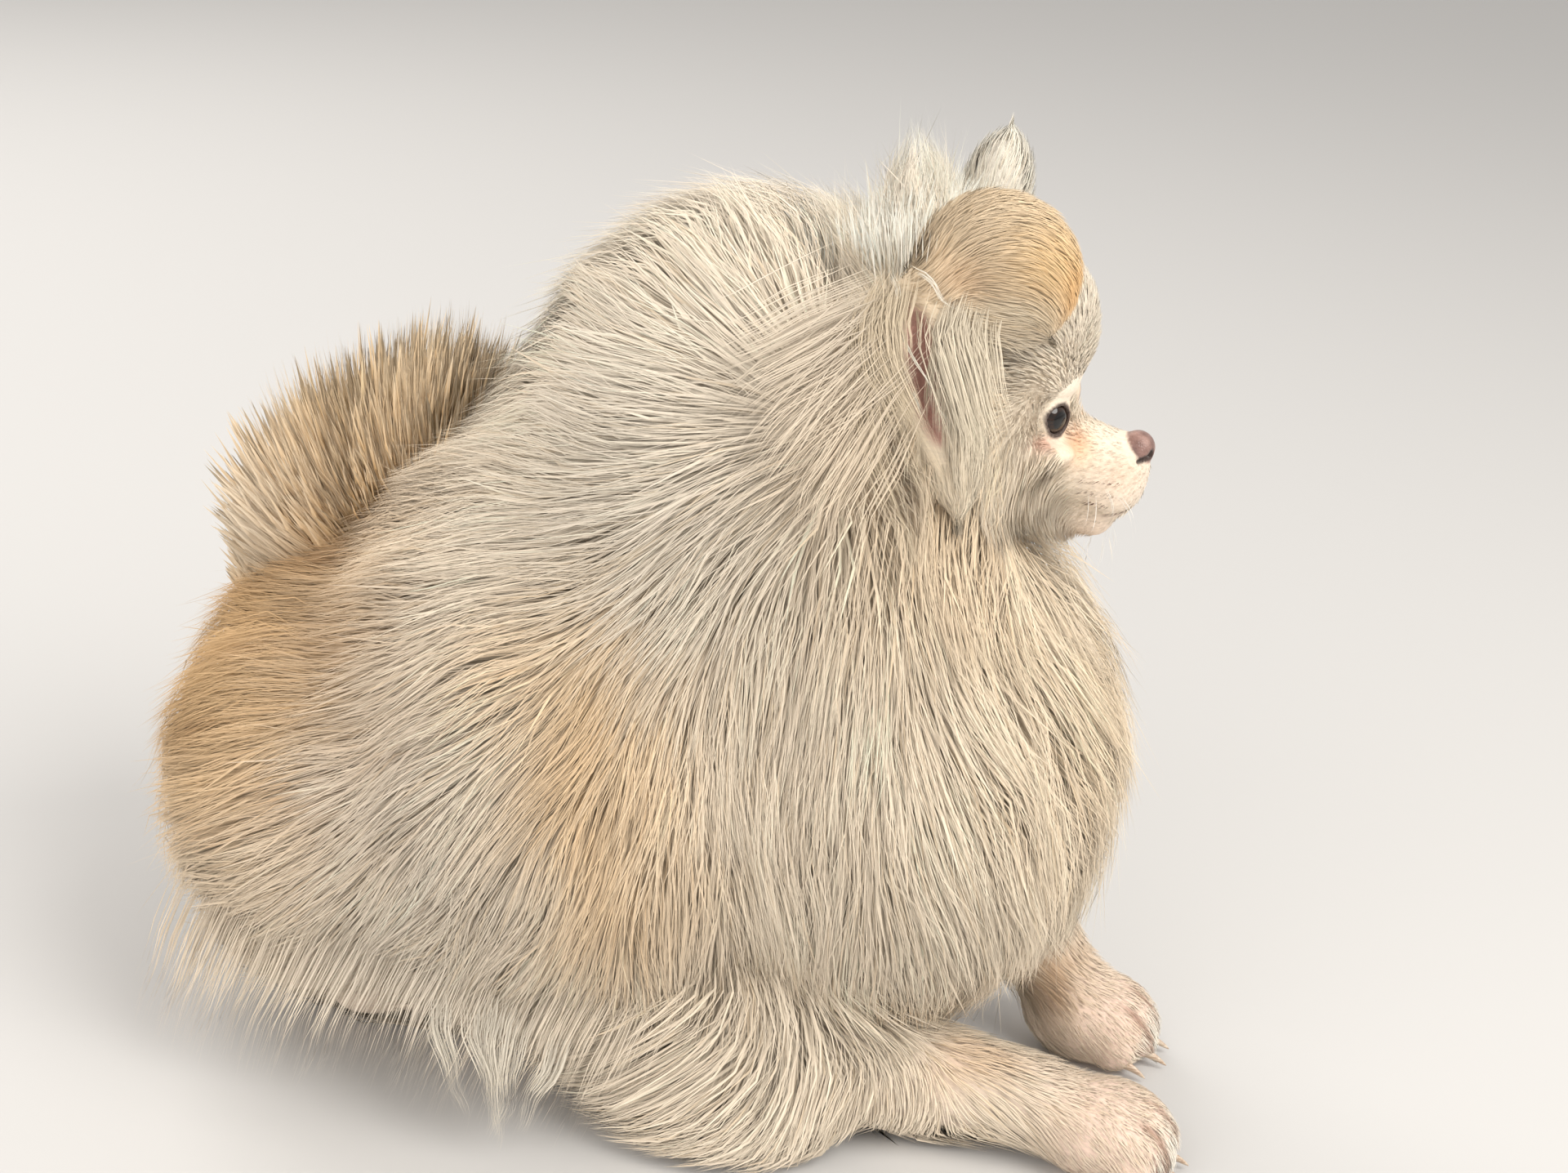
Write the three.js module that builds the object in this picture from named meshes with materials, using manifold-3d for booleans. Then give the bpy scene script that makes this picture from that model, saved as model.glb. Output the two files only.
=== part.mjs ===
// A life-size pomeranian lying with its head up, as a still museum model.
// Millimetres, +Z up. +X is forward (nose side), +Y is the dog's left side.
// The floor is the plane z = 0; the origin is the centre of the model's footprint.
//
// The animal is one smooth field of blended ellipsoids and tapered limbs. It is
// meshed, then parted by thin cuts into the pieces a person would name. The
// shapes are the outer form of the coat, out to the tips of the hair.

import * as THREE from 'three';
import { mergeVertices } from 'three/addons/utils/BufferGeometryUtils.js';
import Module from 'manifold-3d';

const wasm = await Module();
wasm.setup();

// ------------------------------------------------------------ driving sizes
const GAP = 0.3;                 // clearance at every cut between two pieces
const ROOM = 0.45;               // clearance round a rounded piece let into another
const ORIGIN_X = 11.34;          // modelling x of the middle of the footprint
const ORIGIN_Y = 0;              // modelling y of the middle of the footprint
const FLOOR_Z = 0;

const CELL_BODY = 23.2;          // mesh step on the big coat masses
const CELL_HEAD = 11; 
const CELL_MUZZLE = 6.2;
const CELL_NOSE = 2.9;
const CELL_EAR = 8;  
const CELL_TAIL = 18;  
const CELL_LEG = 13.2;
const CELL_PAW = 7.6;

// coat masses: centre and half sizes (length, width, height)
const BARREL = { c: [-14, 0, 113.5], r: [107, 112, 125] };
const RUMP = { c: [-98, 4, 84], r: [80, 105, 86] };
const CHEST = { c: [83.5, 0, 120.5], r: [80.5, 86, 99] };
const MANE = { c: [31, 0, 211], r: [86, 88, 100] };
const THROAT = { c: [90.5, 0, 192], r: [40.5, 54, 48] };
const CREST = { c: [72, 4, 300], r: [15, 30, 27], tilt: -8 };
const BODY_BLEND = 22;
const CREST_BLEND = 10;

// head: skull with its short coat, cheeks, forehead, muzzle, lips and jaw
const SKULL = { c: [86, 0, 262], r: [44, 46, 45] };
const CHEEKS = { c: [90, 0, 236], r: [38, 50, 33] };
const FOREHEAD = { c: [111, 0, 279], r: [21, 28, 20] };
const MUZZLE = { a: [120, 0, 233.2], b: [143.5, 0, 234.2], ra: 18, rb: 11.2 };
const LIPS = { c: [141.5, 0, 226], r: [11.5, 13, 10] };
const JAW = { a: [112, 0, 223], b: [139, 0, 216], ra: 13, rb: 7 };
const HEAD_BLEND = 12;
const SOCKET = { c: [129, 23.5, 251.5], r: 9, blend: 5 };   // hollow in front of each eye
const NOSE = { c: [149.3, 0, 240], r: [5.6, 6.4, 5.8], tilt: 12 };
const NOSTRIL_CUT = { c: [153.6, 3.1, 239.2], r: 1.5 };
const EYE = { c: [118.6, 13.2, 251], r: 8.4 };

// ears: a rounded back on top and a long fringed lobe behind it
const EAR_RIGHT = { dome: [103, -31, 299], domeR: [25, 16, 24], domeTilt: 14,
  lobe: [90, -42, 263], lobeR: [14, 12, 38], lobeTilt: -18 };
const EAR_LEFT = { dome: [90, 32, 299], domeR: [13, 13, 29], domeTilt: 8,
  lobe: [82, 40, 262], lobeR: [14, 13, 34], lobeTilt: -12 };
const EAR_BLEND = 12;
const EAR_HOLLOW = { back: -7, out: 12, up: 4, r: [4.5, 7, 24] };   // the open side of the ear

// tail: carried up over the back, with a standing plume
const PLUME = { c: [-92, 20, 184], r: [68, 48, 62], tilt: -14 };
const TAIL_ROOT = { c: [-138, 10, 158], r: [30, 44, 58], tilt: -10 };
const TAIL_BLEND = 20;

// fore legs: elbow to wrist, paw, and the long hair behind the right elbow
const LEG_RIGHT = { a: [36, -47, 30], b: [150, -37, 20], ra: 31, rb: 16.5,
  paw: [173, -36, 13.5], feather: [40, -66, 15], featherR: [54, 25, 21] };
const LEG_LEFT = { a: [100, 38, 75], b: [146, 34, 26], ra: 26, rb: 17, paw: [160, 32, 13.5] };
const PAW_R = [25.5, 20.5, 17.5];
const WRIST_BLEND = 10;
const FEATHER_BLEND = 14;
const TOES = 4;
const TOE_SPREAD = 9.6;          // side to side step between toes
const TOE_R = [9, 6, 8.5];
const TOE_BLEND = 3;
const PAW_CUT = 3;               // paw starts this far in front of the wrist

// hind legs are folded under the coat, with the feet flat beside the belly
const HIND = { foot: [-34, 50, 11], footR: [25, 15, 14], heel: [-98, 52, 15], heelRad: 14,
  sideFrom: 36, xFrom: -128, xTo: -8, top: 84 };
const HIND_BLEND = 14;

// claws
const CLAW_R = 1.5;
const CLAW_LEN = 8.5;

// where the masses are parted
const HEAD_PLANE = { n: [0.866, 0, 0.5], d: 204 };
const HEAD_FLOOR = 203;          // lowest level of the head and jaw
const NECK_PLANE = { n: [0.438, 0, 0.899], d: 218.6 };
const CHEST_X = 72;
const SHOULDER_X = -2;
const LOIN_X = -84;
const MUZZLE_X = 129;
const MOUTH_Z = 215.5;
const MOUTH_X = 119;             // the mouth runs back to here
const JAW_HALF = 12.5;           // half width of the lower jaw

// --------------------------------------------------------------- field maths
const rad = (d) => d * Math.PI / 180;

// distance to an ellipsoid, tilted about the side-to-side axis by `tilt`
function ellipsoid(p, c, r, tilt = 0) {
  let x = p[0] - c[0], y = p[1] - c[1], z = p[2] - c[2];
  if (tilt) {
    const s = Math.sin(rad(tilt)), k = Math.cos(rad(tilt));
    [x, z] = [k * x - s * z, s * x + k * z];
  }
  const a = x / r[0], b = y / r[1], e = z / r[2];
  const k0 = Math.hypot(a, b, e);
  const k1 = Math.hypot(a / r[0], b / r[1], e / r[2]);
  return k1 < 1e-9 ? -Math.min(r[0], r[1], r[2]) : k0 * (k0 - 1) / k1;
}

// distance to a limb that tapers from radius ra at a to rb at b
function limb(p, a, b, ra, rb) {
  const ab = [b[0] - a[0], b[1] - a[1], b[2] - a[2]];
  const ap = [p[0] - a[0], p[1] - a[1], p[2] - a[2]];
  const t = Math.min(1, Math.max(0, (ap[0] * ab[0] + ap[1] * ab[1] + ap[2] * ab[2]) /
    (ab[0] * ab[0] + ab[1] * ab[1] + ab[2] * ab[2])));
  return Math.hypot(ap[0] - t * ab[0], ap[1] - t * ab[1], ap[2] - t * ab[2]) - (ra + (rb - ra) * t);
}

function blend(a, b, k) {
  const h = Math.min(1, Math.max(0, 0.5 + 0.5 * (b - a) / k));
  return b * (1 - h) + a * h - k * h * (1 - h);
}
const carve = (a, b, k) => -blend(-a, b, k);      // a with b taken away, softly
const mirrored = (c, side) => [c[0], c[1] * side, c[2]];

function hindLeg(p, side) {
  const foot = ellipsoid(p, mirrored(HIND.foot, side), HIND.footR);
  const shank = limb(p, mirrored(HIND.heel, side), mirrored(HIND.foot, side), HIND.heelRad, HIND.heelRad - 2);
  return blend(foot, shank, 6);
}

function coat(p) {
  let d = ellipsoid(p, BARREL.c, BARREL.r);
  for (const m of [RUMP, CHEST, MANE, THROAT]) d = blend(d, ellipsoid(p, m.c, m.r), BODY_BLEND);
  d = blend(d, hindLeg(p, 1), HIND_BLEND);
  d = blend(d, hindLeg(p, -1), HIND_BLEND);
  return blend(d, ellipsoid(p, CREST.c, CREST.r, CREST.tilt), CREST_BLEND);
}

function face(p) {
  let d = ellipsoid(p, SKULL.c, SKULL.r);
  d = blend(d, ellipsoid(p, CHEEKS.c, CHEEKS.r), HEAD_BLEND + 4);
  d = blend(d, ellipsoid(p, FOREHEAD.c, FOREHEAD.r), HEAD_BLEND - 2);
  let m = limb(p, MUZZLE.a, MUZZLE.b, MUZZLE.ra, MUZZLE.rb);
  m = blend(m, ellipsoid(p, LIPS.c, LIPS.r), HEAD_BLEND / 2);
  m = blend(m, limb(p, JAW.a, JAW.b, JAW.ra, JAW.rb), HEAD_BLEND / 2);
  d = blend(d, m, HEAD_BLEND / 2);
  for (const side of [1, -1]) {
    const s = mirrored(SOCKET.c, side);
    d = carve(d, Math.hypot(p[0] - s[0], p[1] - s[1], p[2] - s[2]) - SOCKET.r, SOCKET.blend);
  }
  return d;
}

const animal = (p) => blend(coat(p), face(p), 8);
function nose(p) {
  let d = ellipsoid(p, NOSE.c, NOSE.r, NOSE.tilt);
  for (const side of [1, -1]) {
    const n = mirrored(NOSTRIL_CUT.c, side);
    d = carve(d, Math.hypot(p[0] - n[0], p[1] - n[1], p[2] - n[2]) - NOSTRIL_CUT.r, 0.8);
  }
  return d;
}

function ear(p, e) {
  const side = Math.sign(e.dome[1]);
  const d = blend(ellipsoid(p, e.dome, e.domeR, e.domeTilt),
    ellipsoid(p, e.lobe, e.lobeR, e.lobeTilt), EAR_BLEND);
  const h = [e.lobe[0] + EAR_HOLLOW.back, e.lobe[1] + side * EAR_HOLLOW.out, e.lobe[2] + EAR_HOLLOW.up];
  return carve(d, ellipsoid(p, h, EAR_HOLLOW.r, e.lobeTilt), 4);
}

function tail(p) {
  return blend(ellipsoid(p, PLUME.c, PLUME.r, PLUME.tilt),
    ellipsoid(p, TAIL_ROOT.c, TAIL_ROOT.r, TAIL_ROOT.tilt), TAIL_BLEND);
}

// a paw: the rounded foot with its toes side by side at the front
function paw(p, c) {
  let d = ellipsoid(p, c, PAW_R);
  for (let i = 0; i < TOES; i++) {
    const s = i - (TOES - 1) / 2;
    const t = [c[0] + 17.5 - 3.2 * s * s, c[1] + s * TOE_SPREAD, c[2] - 4.5];
    d = blend(d, ellipsoid(p, t, TOE_R), TOE_BLEND);
  }
  return d;
}

function foreLeg(p, leg) {
  let d = limb(p, leg.a, leg.b, leg.ra, leg.rb);
  d = blend(d, paw(p, leg.paw), WRIST_BLEND);
  if (leg.feather) d = blend(d, ellipsoid(p, leg.feather, leg.featherR), FEATHER_BLEND);
  return d;
}

// ------------------------------------------------------------------- meshing
// Turns the zero surface of a field inside a box into a closed mesh: one point
// in each grid cell that the surface crosses, moved onto the surface.
function meshField(field, lo, hi, step) {
  const f = (p) => Math.max(field(p),
    lo[0] + step * 1.2 - p[0], p[0] - hi[0] + step * 1.2,
    lo[1] + step * 1.2 - p[1], p[1] - hi[1] + step * 1.2,
    lo[2] + step * 1.2 - p[2], p[2] - hi[2] + step * 1.2);
  const n = [0, 1, 2].map((i) => Math.ceil((hi[i] - lo[i]) / step) + 2);
  const at = (i, j, k) => (k * n[1] + j) * n[0] + i;
  const place = (i, j, k) => [lo[0] + i * step, lo[1] + j * step, lo[2] + k * step];
  const val = new Float64Array(n[0] * n[1] * n[2]);
  for (let k = 0; k < n[2]; k++) for (let j = 0; j < n[1]; j++) for (let i = 0; i < n[0]; i++) {
    const v = f(place(i, j, k));
    val[at(i, j, k)] = v === 0 ? 1e-9 : v;
  }
  const corners = [];
  for (let c = 0; c < 8; c++) corners.push([c & 1, (c >> 1) & 1, (c >> 2) & 1]);
  const edges = [];
  for (let a = 0; a < 8; a++) for (const bit of [1, 2, 4]) if (!(a & bit)) edges.push([a, a | bit]);
  const id = new Map();
  const pos = [];
  for (let k = 0; k < n[2] - 1; k++) for (let j = 0; j < n[1] - 1; j++) for (let i = 0; i < n[0] - 1; i++) {
    const v = corners.map((c) => val[at(i + c[0], j + c[1], k + c[2])]);
    let count = 0; const sum = [0, 0, 0];
    for (const [a, b] of edges) {
      if ((v[a] < 0) === (v[b] < 0)) continue;
      const t = v[a] / (v[a] - v[b]);
      for (let m = 0; m < 3; m++) sum[m] += corners[a][m] + t * (corners[b][m] - corners[a][m]);
      count++;
    }
    if (!count) continue;
    let p = place(i, j, k).map((q, m) => q + step * sum[m] / count);
    const e = 0.2;
    for (let pass = 0; pass < 2; pass++) {
      const d = f(p);
      const g = [0, 1, 2].map((m) => { const a = p.slice(); a[m] += e; return (f(a) - d) / e; });
      const len = Math.hypot(...g) || 1;
      const move = Math.max(-step * 0.35, Math.min(step * 0.35, d / len));
      p = p.map((q, m) => q - move * g[m] / len);
    }
    id.set(at(i, j, k), pos.length / 3);
    pos.push(...p);
  }
  const tri = [];
  const dist2 = (a, b) => (pos[3 * a] - pos[3 * b]) ** 2 + (pos[3 * a + 1] - pos[3 * b + 1]) ** 2 +
    (pos[3 * a + 2] - pos[3 * b + 2]) ** 2;
  const quad = (a, b, c, d, flip) => {
    const q = flip ? [a, d, c, b] : [a, b, c, d];
    if (dist2(q[0], q[2]) <= dist2(q[1], q[3])) tri.push(q[0], q[1], q[2], q[0], q[2], q[3]);
    else tri.push(q[1], q[2], q[3], q[1], q[3], q[0]);
  };
  for (let k = 1; k < n[2] - 1; k++) for (let j = 1; j < n[1] - 1; j++) for (let i = 1; i < n[0] - 1; i++) {
    const here = val[at(i, j, k)] < 0;
    const c = (di, dj, dk) => id.get(at(i - di, j - dj, k - dk));
    if (here !== (val[at(i + 1, j, k)] < 0)) quad(c(0, 1, 1), c(0, 0, 1), c(0, 0, 0), c(0, 1, 0), !here);
    if (here !== (val[at(i, j + 1, k)] < 0)) quad(c(1, 0, 1), c(1, 0, 0), c(0, 0, 0), c(0, 0, 1), !here);
    if (here !== (val[at(i, j, k + 1)] < 0)) quad(c(1, 1, 0), c(0, 1, 0), c(0, 0, 0), c(1, 0, 0), !here);
  }
  const g = new THREE.BufferGeometry();
  g.setAttribute('position', new THREE.BufferAttribute(new Float32Array(pos), 3));
  g.setIndex(tri);
  return g;
}

// ---------------------------------------------------------------- solid tools
function solid(geometry, matrix) {
  const g = geometry.clone();
  if (matrix) g.applyMatrix4(matrix);
  g.deleteAttribute('normal');
  g.deleteAttribute('uv');
  const m = mergeVertices(g, 1e-5);
  return new wasm.Manifold(new wasm.Mesh({
    numProp: 3,
    vertProperties: new Float32Array(m.attributes.position.array),
    triVerts: new Uint32Array(m.index.array),
  }));
}

const BIG = 900;
// everything on the side of the plane n.p = d that n points to
function beyond(n, d) {
  const v = new THREE.Vector3(...n).normalize();
  const q = new THREE.Quaternion().setFromUnitVectors(new THREE.Vector3(0, 0, 1), v);
  const m = new THREE.Matrix4().compose(v.clone().multiplyScalar(d + BIG / 2), q, new THREE.Vector3(1, 1, 1));
  return solid(new THREE.BoxGeometry(BIG, BIG, BIG), m);
}
const before = (n, d) => beyond(n.map((x) => -x), -d);
function block(lo, hi) {
  const g = new THREE.BoxGeometry(hi[0] - lo[0], hi[1] - lo[1], hi[2] - lo[2]);
  g.translate((lo[0] + hi[0]) / 2, (lo[1] + hi[1]) / 2, (lo[2] + hi[2]) / 2);
  return solid(g);
}
const ball = (c, r, seg = 16) => {
  const g = new THREE.SphereGeometry(r, seg, Math.round(seg * 0.7));
  g.rotateX(Math.PI / 2);
  g.translate(...c);
  return solid(g);
};

// the largest single body of a cut piece; any sliver left by a cut is dropped
function mainBody(m) {
  const list = m.decompose();
  let best = list[0];
  for (const b of list) if (b.volume() > best.volume()) best = b;
  return best;
}

const shape = (field, lo, hi, step) => solid(meshField(field, lo, hi, step));

// a piece and the room it takes out of its neighbours: the same mesh with every
// point moved out along its normal by a little more than the gap
function pieceAndRoom(field, lo, hi, step) {
  const g = meshField(field, lo, hi, step);
  const wide = g.clone();
  wide.computeVertexNormals();
  const a = wide.attributes.position, n = wide.attributes.normal;
  for (let i = 0; i < a.count; i++) {
    a.setXYZ(i, a.getX(i) + ROOM * n.getX(i), a.getY(i) + ROOM * n.getY(i), a.getZ(i) + ROOM * n.getZ(i));
  }
  return [solid(g), solid(wide)];
}

const aboveFloor = block([-BIG, -BIG, FLOOR_Z], [BIG, BIG, BIG]);

// -------------------------------------------------------------- build solids
const pieces = [];
function keep(name, m, color, roughness = 0.85) {
  pieces.push({ name, m: mainBody(m), color, roughness });
}

const CREAM = 0xe9dcc6, IVORY = 0xefe8da, APRICOT = 0xe6c79a, TAN = 0xd9b98c, PINKISH = 0xe8d2c0;

// regions of the head
const headRegion = beyond(HEAD_PLANE.n, HEAD_PLANE.d).intersect(block([-BIG, -BIG, HEAD_FLOOR], [BIG, BIG, BIG]));
const headRegionWide = beyond(HEAD_PLANE.n, HEAD_PLANE.d - GAP)
  .intersect(block([-BIG, -BIG, HEAD_FLOOR - GAP], [BIG, BIG, BIG]));

// ears, with the room they take out of their neighbours
const EAR_BOX = { right: [[45, -78, 205], [150, 5, 345]], left: [[45, -5, 205], [135, 80, 345]] };
const [earRight, earRightRoom] = pieceAndRoom((p) => ear(p, EAR_RIGHT), ...EAR_BOX.right, CELL_EAR);
const [earLeft, earLeftRoom] = pieceAndRoom((p) => ear(p, EAR_LEFT), ...EAR_BOX.left, CELL_EAR);

// eyes and nose
const eyeAt = (side, r, seg) => ball(mirrored(EYE.c, side), r, seg);
const noseBox = [[141, -11, 231], [158, 11, 249]];
const [noseSolid, noseRoom] = pieceAndRoom(nose, ...noseBox, CELL_NOSE);

// head, muzzle and lower jaw
const headMesh = shape(animal, [30, -70, 188], [150, 70, 330], CELL_HEAD);
const muzzleMesh = shape(animal, [112, -40, 190], [168, 40, 268], CELL_MUZZLE);
const eyes = eyeAt(1, EYE.r + 2 * GAP, 12).add(eyeAt(-1, EYE.r + 2 * GAP, 12));
const muzzleRegion = block([MUZZLE_X + GAP / 2, -BIG, HEAD_FLOOR - 1], [BIG, BIG, BIG]);
const jawRegion = block([MOUTH_X, -JAW_HALF, HEAD_FLOOR - 1], [BIG, JAW_HALF, MOUTH_Z]);
const jawRoom = block([MOUTH_X - GAP, -JAW_HALF - GAP, HEAD_FLOOR - 2], [BIG, JAW_HALF + GAP, MOUTH_Z + GAP]);

const head = headMesh.intersect(headRegion).subtract(block([MUZZLE_X - GAP / 2, -BIG, -BIG], [BIG, BIG, BIG]))
  .subtract(jawRoom).subtract(earRightRoom).subtract(earLeftRoom).subtract(eyes);
keep('head', head, CREAM);
keep('muzzle', muzzleMesh.intersect(headRegion).intersect(muzzleRegion).subtract(jawRoom).subtract(noseRoom)
  .subtract(eyes), CREAM);
keep('lower_jaw', muzzleMesh.intersect(headRegion).intersect(jawRegion).subtract(noseRoom), IVORY);
keep('nose', noseSolid, 0x8f6f6a, 0.5);
keep('eye_right', eyeAt(-1, EYE.r, 12), 0x1c1210, 0.08);
keep('eye_left', eyeAt(1, EYE.r, 12), 0x1c1210, 0.08);
keep('ear_right', earRight, TAN);
keep('ear_left', earLeft.subtract(earRightRoom), IVORY);

// limbs and tail
const legBox = { right: [[-50, -118, -30], [176, 12, 85]], left: [[56, -5, -27], [170, 78, 120]] };
const pawBox = { right: [[136, -76, -24], [216, 6, 60]], left: [[122, -6, -24], [204, 74, 66]] };
const tailBox = [[-188, -56, 78], [2, 92, 266]];
const [tailMesh, tailRoom] = pieceAndRoom(tail, ...tailBox, CELL_TAIL);
const legMesh = {}, legRoom = {}, pawMesh = {};
for (const [key, leg] of [['right', LEG_RIGHT], ['left', LEG_LEFT]]) {
  [legMesh[key], legRoom[key]] = pieceAndRoom((p) => foreLeg(p, leg), ...legBox[key], CELL_LEG);
  pawMesh[key] = shape((p) => foreLeg(p, leg), ...pawBox[key], CELL_PAW);
}

// claws: a curved, tapered nail under the hair at the front of each toe
function clawSolid(c, i, grow = 0) {
  const s = i - (TOES - 1) / 2;
  const g = new THREE.ConeGeometry(CLAW_R + grow, CLAW_LEN + grow, 6, 2);
  const a = g.attributes.position;
  for (let v = 0; v < a.count; v++) {             // bend the tip down
    const y = a.getY(v) + CLAW_LEN / 2;
    a.setX(v, a.getX(v) - 0.018 * y * y);
  }
  g.rotateZ(-Math.PI / 2);                        // point forward, bend towards -Y
  g.rotateX(Math.PI / 2);                         // bend towards -Z
  g.rotateY(rad(14));
  g.rotateZ(rad(6 * s));
  g.translate(c[0] + 23.2 - 3.2 * s * s, c[1] + s * (TOE_SPREAD + 0.4), c[2] - 8.6);
  return solid(g);
}
const claws = [];
for (const [key, leg] of [['right', LEG_RIGHT], ['left', LEG_LEFT]]) {
  for (let i = 0; i < TOES; i++) {
    claws.push({ key, name: `claw_${key}_${i + 1}`, m: clawSolid(leg.paw, i), room: clawSolid(leg.paw, i, GAP) });
  }
}

// the coat masses, cut apart
const bodyMesh = shape(animal, [-205, -140, -40], [190, 140, 350], CELL_BODY).intersect(aboveFloor);
const legsRoom = legRoom.right.add(legRoom.left);
const rest = bodyMesh.subtract(headRegionWide).subtract(tailRoom).subtract(legsRoom)
  .subtract(earRightRoom).subtract(earLeftRoom);
const neckSide = beyond(NECK_PLANE.n, NECK_PLANE.d + GAP / 2);
const bodySide = before(NECK_PLANE.n, NECK_PLANE.d - GAP / 2);
const span = (x0, x1) => block([x0 + GAP / 2, -BIG, -BIG], [x1 - GAP / 2, BIG, BIG]);
const thigh = (side, grow) => {
  const y0 = side > 0 ? HIND.sideFrom - grow : -BIG;
  const y1 = side > 0 ? BIG : -HIND.sideFrom + grow;
  return block([HIND.xFrom - grow, y0, -BIG], [HIND.xTo + grow, y1, HIND.top + grow]);
};
const thighsRoom = thigh(1, GAP).add(thigh(-1, GAP));
const trunk = rest.intersect(bodySide);

keep('neck', rest.intersect(neckSide), IVORY);
keep('chest', trunk.intersect(span(CHEST_X, BIG)), CREAM);
keep('shoulders', trunk.intersect(span(SHOULDER_X, CHEST_X)).subtract(thighsRoom), IVORY);
keep('barrel', trunk.intersect(span(LOIN_X, SHOULDER_X)).subtract(thighsRoom), IVORY);
keep('hindquarters', trunk.intersect(span(-BIG, LOIN_X)).subtract(thighsRoom), APRICOT);
keep('hindleg_right', trunk.intersect(thigh(-1, 0)), IVORY);
keep('hindleg_left', trunk.intersect(thigh(1, 0)), IVORY);
keep('tail', tailMesh.intersect(aboveFloor), APRICOT);

for (const [key, leg] of [['right', LEG_RIGHT], ['left', LEG_LEFT]]) {
  const cut = leg.b[0] + PAW_CUT;
  let foot = pawMesh[key].intersect(aboveFloor).intersect(beyond([1, 0, 0], cut + GAP / 2));
  for (const c of claws) if (c.key === key) foot = foot.subtract(c.room);
  keep(`foreleg_${key}`, legMesh[key].intersect(aboveFloor).intersect(before([1, 0, 0], cut - GAP / 2)), CREAM);
  keep(`forepaw_${key}`, foot, PINKISH);
}
for (const c of claws) keep(c.name, c.m, 0xcdbfae, 0.35);

// ------------------------------------------------------------- scene graph
// the mesh of a finished piece, with points closer than WELD joined, so that no
// hair-thin triangle is left along a cut
const WELD = 0.004;
function toGeometry(m) {
  const mesh = m.getMesh();
  const n = mesh.numProp, src = mesh.vertProperties, tri = mesh.triVerts;
  const count = src.length / n;
  const into = Array.from({ length: count }, (_, i) => i);
  const find = (i) => { while (into[i] !== i) i = into[i]; return i; };
  const gapOf = (i, j) => Math.hypot(src[n * i] - src[n * j], src[n * i + 1] - src[n * j + 1], src[n * i + 2] - src[n * j + 2]);
  for (let t = 0; t < tri.length; t += 3) for (let e = 0; e < 3; e++) {
    const i = find(tri[t + e]), j = find(tri[t + (e + 1) % 3]);
    if (i !== j && gapOf(i, j) < WELD) into[Math.max(i, j)] = Math.min(i, j);
  }
  const used = new Map(), xyz = [], index = [];
  for (let t = 0; t < tri.length; t += 3) {
    const v = [0, 1, 2].map((e) => find(tri[t + e]));
    if (v[0] === v[1] || v[1] === v[2] || v[2] === v[0]) continue;
    for (const i of v) {
      if (!used.has(i)) { used.set(i, xyz.length / 3); xyz.push(src[n * i], src[n * i + 1], src[n * i + 2]); }
      index.push(used.get(i));
    }
  }
  const g = new THREE.BufferGeometry();
  g.setAttribute('position', new THREE.BufferAttribute(new Float32Array(xyz), 3));
  g.setIndex(index);
  g.computeVertexNormals();
  return g;
}

const pomeranian = new THREE.Group();
pomeranian.name = 'pomeranian';
const model = new THREE.Group();
model.position.set(-ORIGIN_X, -ORIGIN_Y, 0);
pomeranian.add(model);
for (const piece of pieces) {
  const mesh = new THREE.Mesh(toGeometry(piece.m),
    new THREE.MeshStandardMaterial({ color: piece.color, roughness: piece.roughness, metalness: 0 }));
  mesh.name = piece.name;
  model.add(mesh);
}
pomeranian.updateMatrixWorld(true);

export default pomeranian;
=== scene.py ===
import bpy
import math
import numpy as np
from mathutils import Matrix, Vector, kdtree


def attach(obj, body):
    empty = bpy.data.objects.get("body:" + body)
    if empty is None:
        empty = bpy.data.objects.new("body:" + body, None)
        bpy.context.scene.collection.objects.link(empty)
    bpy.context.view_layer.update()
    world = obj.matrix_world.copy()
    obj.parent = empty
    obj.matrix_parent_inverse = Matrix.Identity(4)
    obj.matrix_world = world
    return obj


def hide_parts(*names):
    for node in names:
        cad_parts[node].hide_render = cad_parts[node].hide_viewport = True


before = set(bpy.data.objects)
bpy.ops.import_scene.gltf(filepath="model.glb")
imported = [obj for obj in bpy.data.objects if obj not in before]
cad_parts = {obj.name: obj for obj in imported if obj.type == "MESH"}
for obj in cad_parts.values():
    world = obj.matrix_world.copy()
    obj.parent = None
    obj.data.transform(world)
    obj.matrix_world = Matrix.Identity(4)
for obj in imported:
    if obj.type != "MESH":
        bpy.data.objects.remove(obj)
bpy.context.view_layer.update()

# Shapes are worked out in millimetres, +X forward, +Y the dog's left, +Z up,
# in the modelling frame; to_row() turns them into metres in the shared frame.
ORIGIN_X = 11.34
F32 = np.float32


def to_row(p):
    return (np.asarray(p, dtype=np.float64) - (ORIGIN_X, 0.0, 0.0)) / 1000.0


# ---------------------------------------------------------------- field maths
def ell(P, c, r, tilt=0.0):
    x, y, z = P[0] - c[0], P[1] - c[1], P[2] - c[2]
    if tilt:
        s, k = math.sin(math.radians(tilt)), math.cos(math.radians(tilt))
        x, z = k * x - s * z, s * x + k * z
    a, b, e = (x / r[0]) ** 2, (y / r[1]) ** 2, (z / r[2]) ** 2
    k0 = np.sqrt(a + b + e)
    k1 = np.sqrt(a / r[0] ** 2 + b / r[1] ** 2 + e / r[2] ** 2)
    return k0 * (k0 - 1) / np.maximum(k1, 1e-6)


def limb(P, a, b, ra, rb):
    ab = np.subtract(b, a).astype(float)
    x, y, z = P[0] - a[0], P[1] - a[1], P[2] - a[2]
    t = np.clip((x * ab[0] + y * ab[1] + z * ab[2]) / float(ab @ ab), 0, 1)
    return np.sqrt((x - t * ab[0]) ** 2 + (y - t * ab[1]) ** 2 + (z - t * ab[2]) ** 2) - (ra + (rb - ra) * t)


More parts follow.
